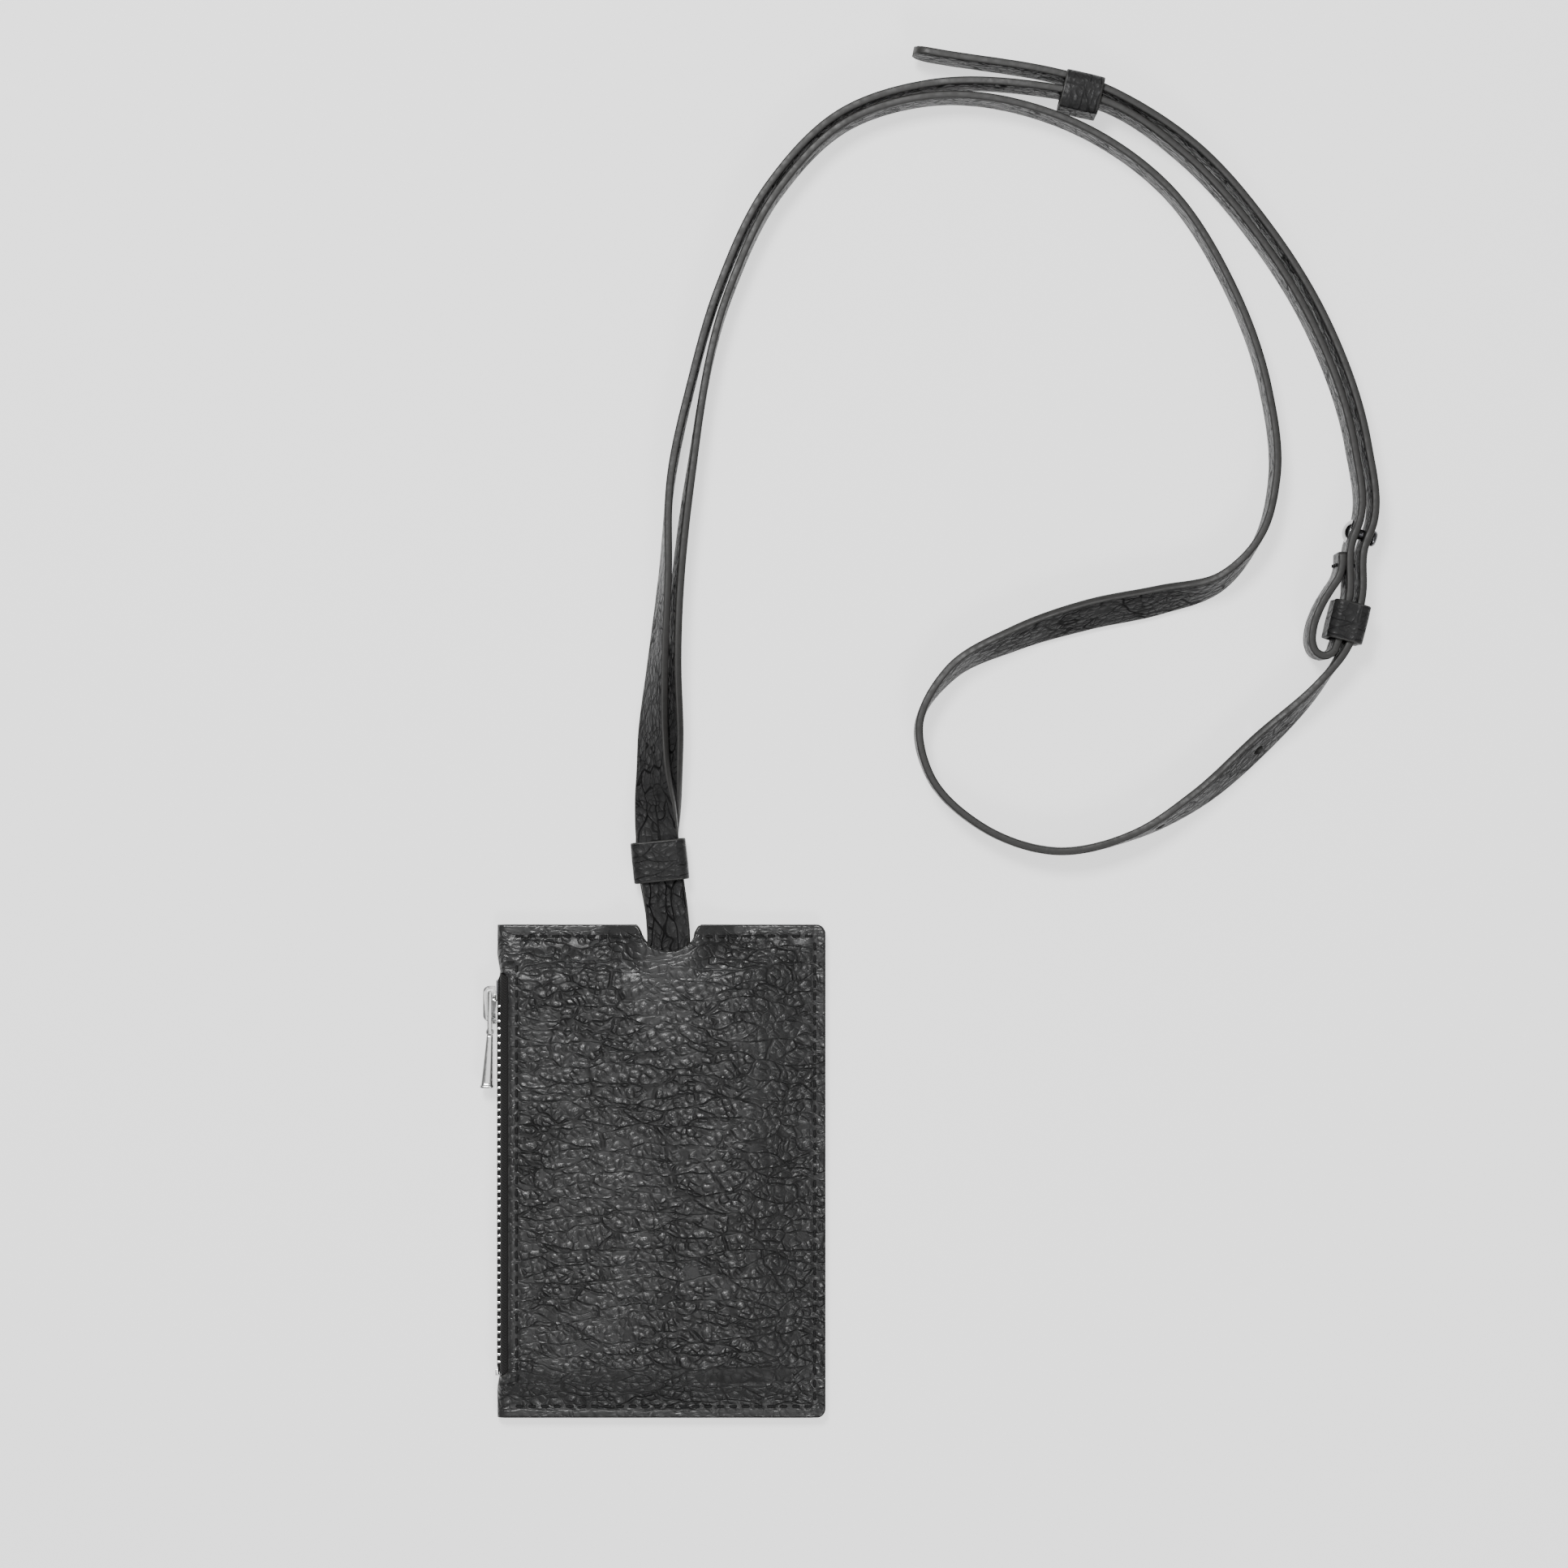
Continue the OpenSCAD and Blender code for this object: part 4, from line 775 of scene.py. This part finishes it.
def punch(strap, route, line, width_way, face_way):
    """Round holes through the strap, a pitch apart from the stud's own towards the pouch. Each is a
    tube along the face's axis that is taken away; its wall takes the edge paint."""
    knots = route[:, :3] / MM
    at = run_along(knots)
    runs = (at[stud_stretch] + at[stud_stretch + 1]) / 2 - np.arange(hole_count) * hole_pitch
    spots = np.stack([np.interp(runs, at, knots[:, k]) for k in range(3)], axis=-1)
    near = np.argmin(np.linalg.norm(line[None, :, :3] - spots[:, None], axis=-1), axis=1)
    middle, across_strap, out = line[near, :3], width_way[near], face_way[near]
    axes = np.stack([across_strap, np.cross(out, across_strap), out], axis=1)
    angle = np.arange(24) * np.pi / 12
    ring = np.column_stack([np.cos(angle), np.sin(angle)]) * hole_d / 2
    tube = np.stack([np.column_stack([ring, np.full(24, h)]) for h in (-strap_t, strap_t)])
    cutter = many("hole_punch", tube, middle, axes, strap_leather)
    cutter.data.materials.append(strap_edge)
    cutter.data.polygons.foreach_set("material_index", np.ones(len(cutter.data.polygons), np.int32))
    cut = strap.modifiers.new("holes", "BOOLEAN")
    cut.object = cutter
    cut.solver = "EXACT"
    scene_now = bpy.context.evaluated_depsgraph_get()
    punched = bpy.data.meshes.new_from_object(strap.evaluated_get(scene_now))
    strap.modifiers.clear()
    strap.data = punched
    bpy.data.objects.remove(cutter)


punch(long_leg, long_route, long_line, long_w, long_n)
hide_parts("strap_short_leg")
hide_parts("strap_long_leg")
for leg in (short_leg, long_leg):
    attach(leg, "pouch")


# --- Keepers -----------------------------------------------------------------
# Three closed bands of the same leather, cut across the strap, folded round both layers and butted
# underneath. One gathers the legs above the pouch, one holds the tail, one sits in the end loop.
def keeper_band(name, middle, turn, inner_w, inner_h, length, sag):
    """A section 1.2 mm thick and as wide as the keeper, with rounded rims, carried round a rounded
    rectangle. sag draws the middle of each side in a little, as leather does between its corners."""
    thick, corner = 1.2, 1.7
    a, b = strap_section(length, thick, 0.06, 0.4)
    half_x, half_z = inner_w / 2 + thick / 2, inner_h / 2 + thick / 2
    quarter = np.linspace(0, np.pi / 2, 8)
    sides_x, sides_z = np.linspace(-1, 1, 9)[1:-1], np.linspace(1, -1, 11)[1:-1]
    parts = []
    for k, (sx, sz) in enumerate(((1, 1), (1, -1), (-1, -1), (-1, 1))):
        angle = quarter if k % 2 == 0 else quarter[::-1]
        cx, cz = sx * (half_x - corner), sz * (half_z - corner)
        round_x, round_z = cx + sx * corner * np.sin(angle), cz + sz * corner * np.cos(angle)
        parts.append(np.column_stack([round_x, round_z]))
        if k == 0:
            z = sides_z * (half_z - corner)
            parts.append(np.column_stack([half_x - sag * (1 - sides_z**2), z]))
        if k == 1:
            parts.append(np.column_stack([-sides_x * (half_x - corner), -half_z + 0 * sides_x]))
        if k == 2:
            z = -sides_z * (half_z - corner)
            parts.append(np.column_stack([-half_x + sag * (1 - sides_z**2), z]))
        if k == 3:
            x = sides_x * (half_x - corner)
            parts.append(np.column_stack([x, half_z - sag * (1 - sides_x**2)]))
    loop = np.concatenate(parts)
    ahead, behind = np.roll(loop, -1, axis=0), np.roll(loop, 1, axis=0)
    tangent = ahead - behind
    tangent /= np.linalg.norm(tangent, axis=1, keepdims=True)
    outward = np.column_stack([-tangent[:, 1], tangent[:, 0]])
    local = np.stack([loop[:, :1] + outward[:, :1] * b, np.broadcast_to(a, (len(loop), len(a))),
                      loop[:, 1:] + outward[:, 1:] * b], axis=-1)
    local = np.concatenate([local, local[:1]])
    c, s = np.cos(np.radians(turn)), np.sin(np.radians(turn))
    grid = local @ np.array([[c, s, 0], [-s, c, 0], [0, 0, 1]]) + np.array(middle)
    closed = np.concatenate([loop, loop[:1]])
    return leather_band(name, grid, run_along(closed), a, 0.4, 0.55)


keeper_sizes = (
    ("keeper_pouch", "pouch_keeper", (-0.3, 75.6, 4.1), 5.8, 11.0, 5.5, 10.0, -0.1),
    ("keeper_top", "top_keeper", (101.9, 261.5, 6.6), 76.9, 6.9, 10.7, 9.5, 0.15),
    ("keeper_lower", "lower_keeper", (166.3, 133.5, 6.6), -14.0, 6.6, 10.7, 9.5, 0.15))
for node, body, middle, turn, inner_w, inner_h, length, sag in keeper_sizes:
    keeper = keeper_band(node + "_leather", middle, turn, inner_w, inner_h, length, sag)
    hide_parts(node)
    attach(keeper, body)


# --- Collar stud and end stitches --------------------------------------------
# A turned stud: a domed screw on the inner side of the sewn loop and a dark post with a small head,
# which the tail's hole buttons over. Three hand stitches hold the loop's end.
screw = eased("stud_screw", "pouch", cast_metal, 0.12)
post = eased("stud_post", "pouch", dark_metal, 0.2)
give("loop_tack", black_thread)


# --- Table, light and camera -------------------------------------------------
# A plain pale table that glows faintly, so that shadows stay soft, under a large softbox and an
# even pale surround. The camera looks straight down.
table = grid_mesh("table", np.array([[[-3000.0, -3000, -0.12], [3000, -3000, -0.12]],
                                     [[-3000, 3000, -0.12], [3000, 3000, -0.12]]]))
paper = Wiring("table_paper")
paper.finish((0.5, 0.5, 0.5, 1), 0.95, Emission_Color=(1, 1, 1, 1), Emission_Strength=1.12)
table.data.materials.append(paper.material)

world = bpy.context.scene.world or bpy.data.worlds.new("surround")
bpy.context.scene.world = world
world.use_nodes = True
sky = world.node_tree
way = sky.nodes.new("ShaderNodeTexCoord")
part = sky.nodes.new("ShaderNodeSeparateXYZ")
fade = sky.nodes.new("ShaderNodeMapRange")
fade.interpolation_type = "SMOOTHSTEP"
for key, value in (("From Min", 0.15), ("From Max", 0.5), ("To Min", 0.03), ("To Max", 0.5)):
    fade.inputs[key].default_value = value
sky.links.new(way.outputs["Generated"], part.inputs[0])
sky.links.new(part.outputs["Z"], fade.inputs["Value"])
sky.links.new(fade.outputs[0], sky.nodes["Background"].inputs["Strength"])
sky.nodes["Background"].inputs["Color"].default_value = (1, 1, 1, 1)


def softbox(name, place, aim, size, power):
    """A square area light at place, turned to face aim, in metres and watts."""
    lamp = bpy.data.lights.new(name, "AREA")
    lamp.size = size
    lamp.energy = power
    holder = bpy.data.objects.new(name, lamp)
    bpy.context.scene.collection.objects.link(holder)
    way = np.array(aim, float) - np.array(place, float)
    pitch = np.arccos(-way[2] / np.linalg.norm(way))
    holder.rotation_euler = Euler((pitch, 0, np.arctan2(way[1], way[0]) - np.pi / 2))
    holder.location = place
    return holder


softbox("key", (-0.14, 0.5, 0.85), (0.03, 0.09, 0), 0.24, 12.0)
softbox("fill", (0.3, -0.6, 0.8), (0.03, 0.09, 0), 0.3, 5.0)
softbox("overhead", (0.0, 0.05, 1.5), (0.0, 0.0501, 0), 0.7, 3.5)

lens = bpy.data.cameras.new("camera")
lens.lens = 85
lens.sensor_width = 36
lens.clip_start = 0.05
camera = bpy.data.objects.new("camera", lens)
bpy.context.scene.collection.objects.link(camera)
camera.location = (0.0299, 0.0943, 0.905)
bpy.context.scene.camera = camera
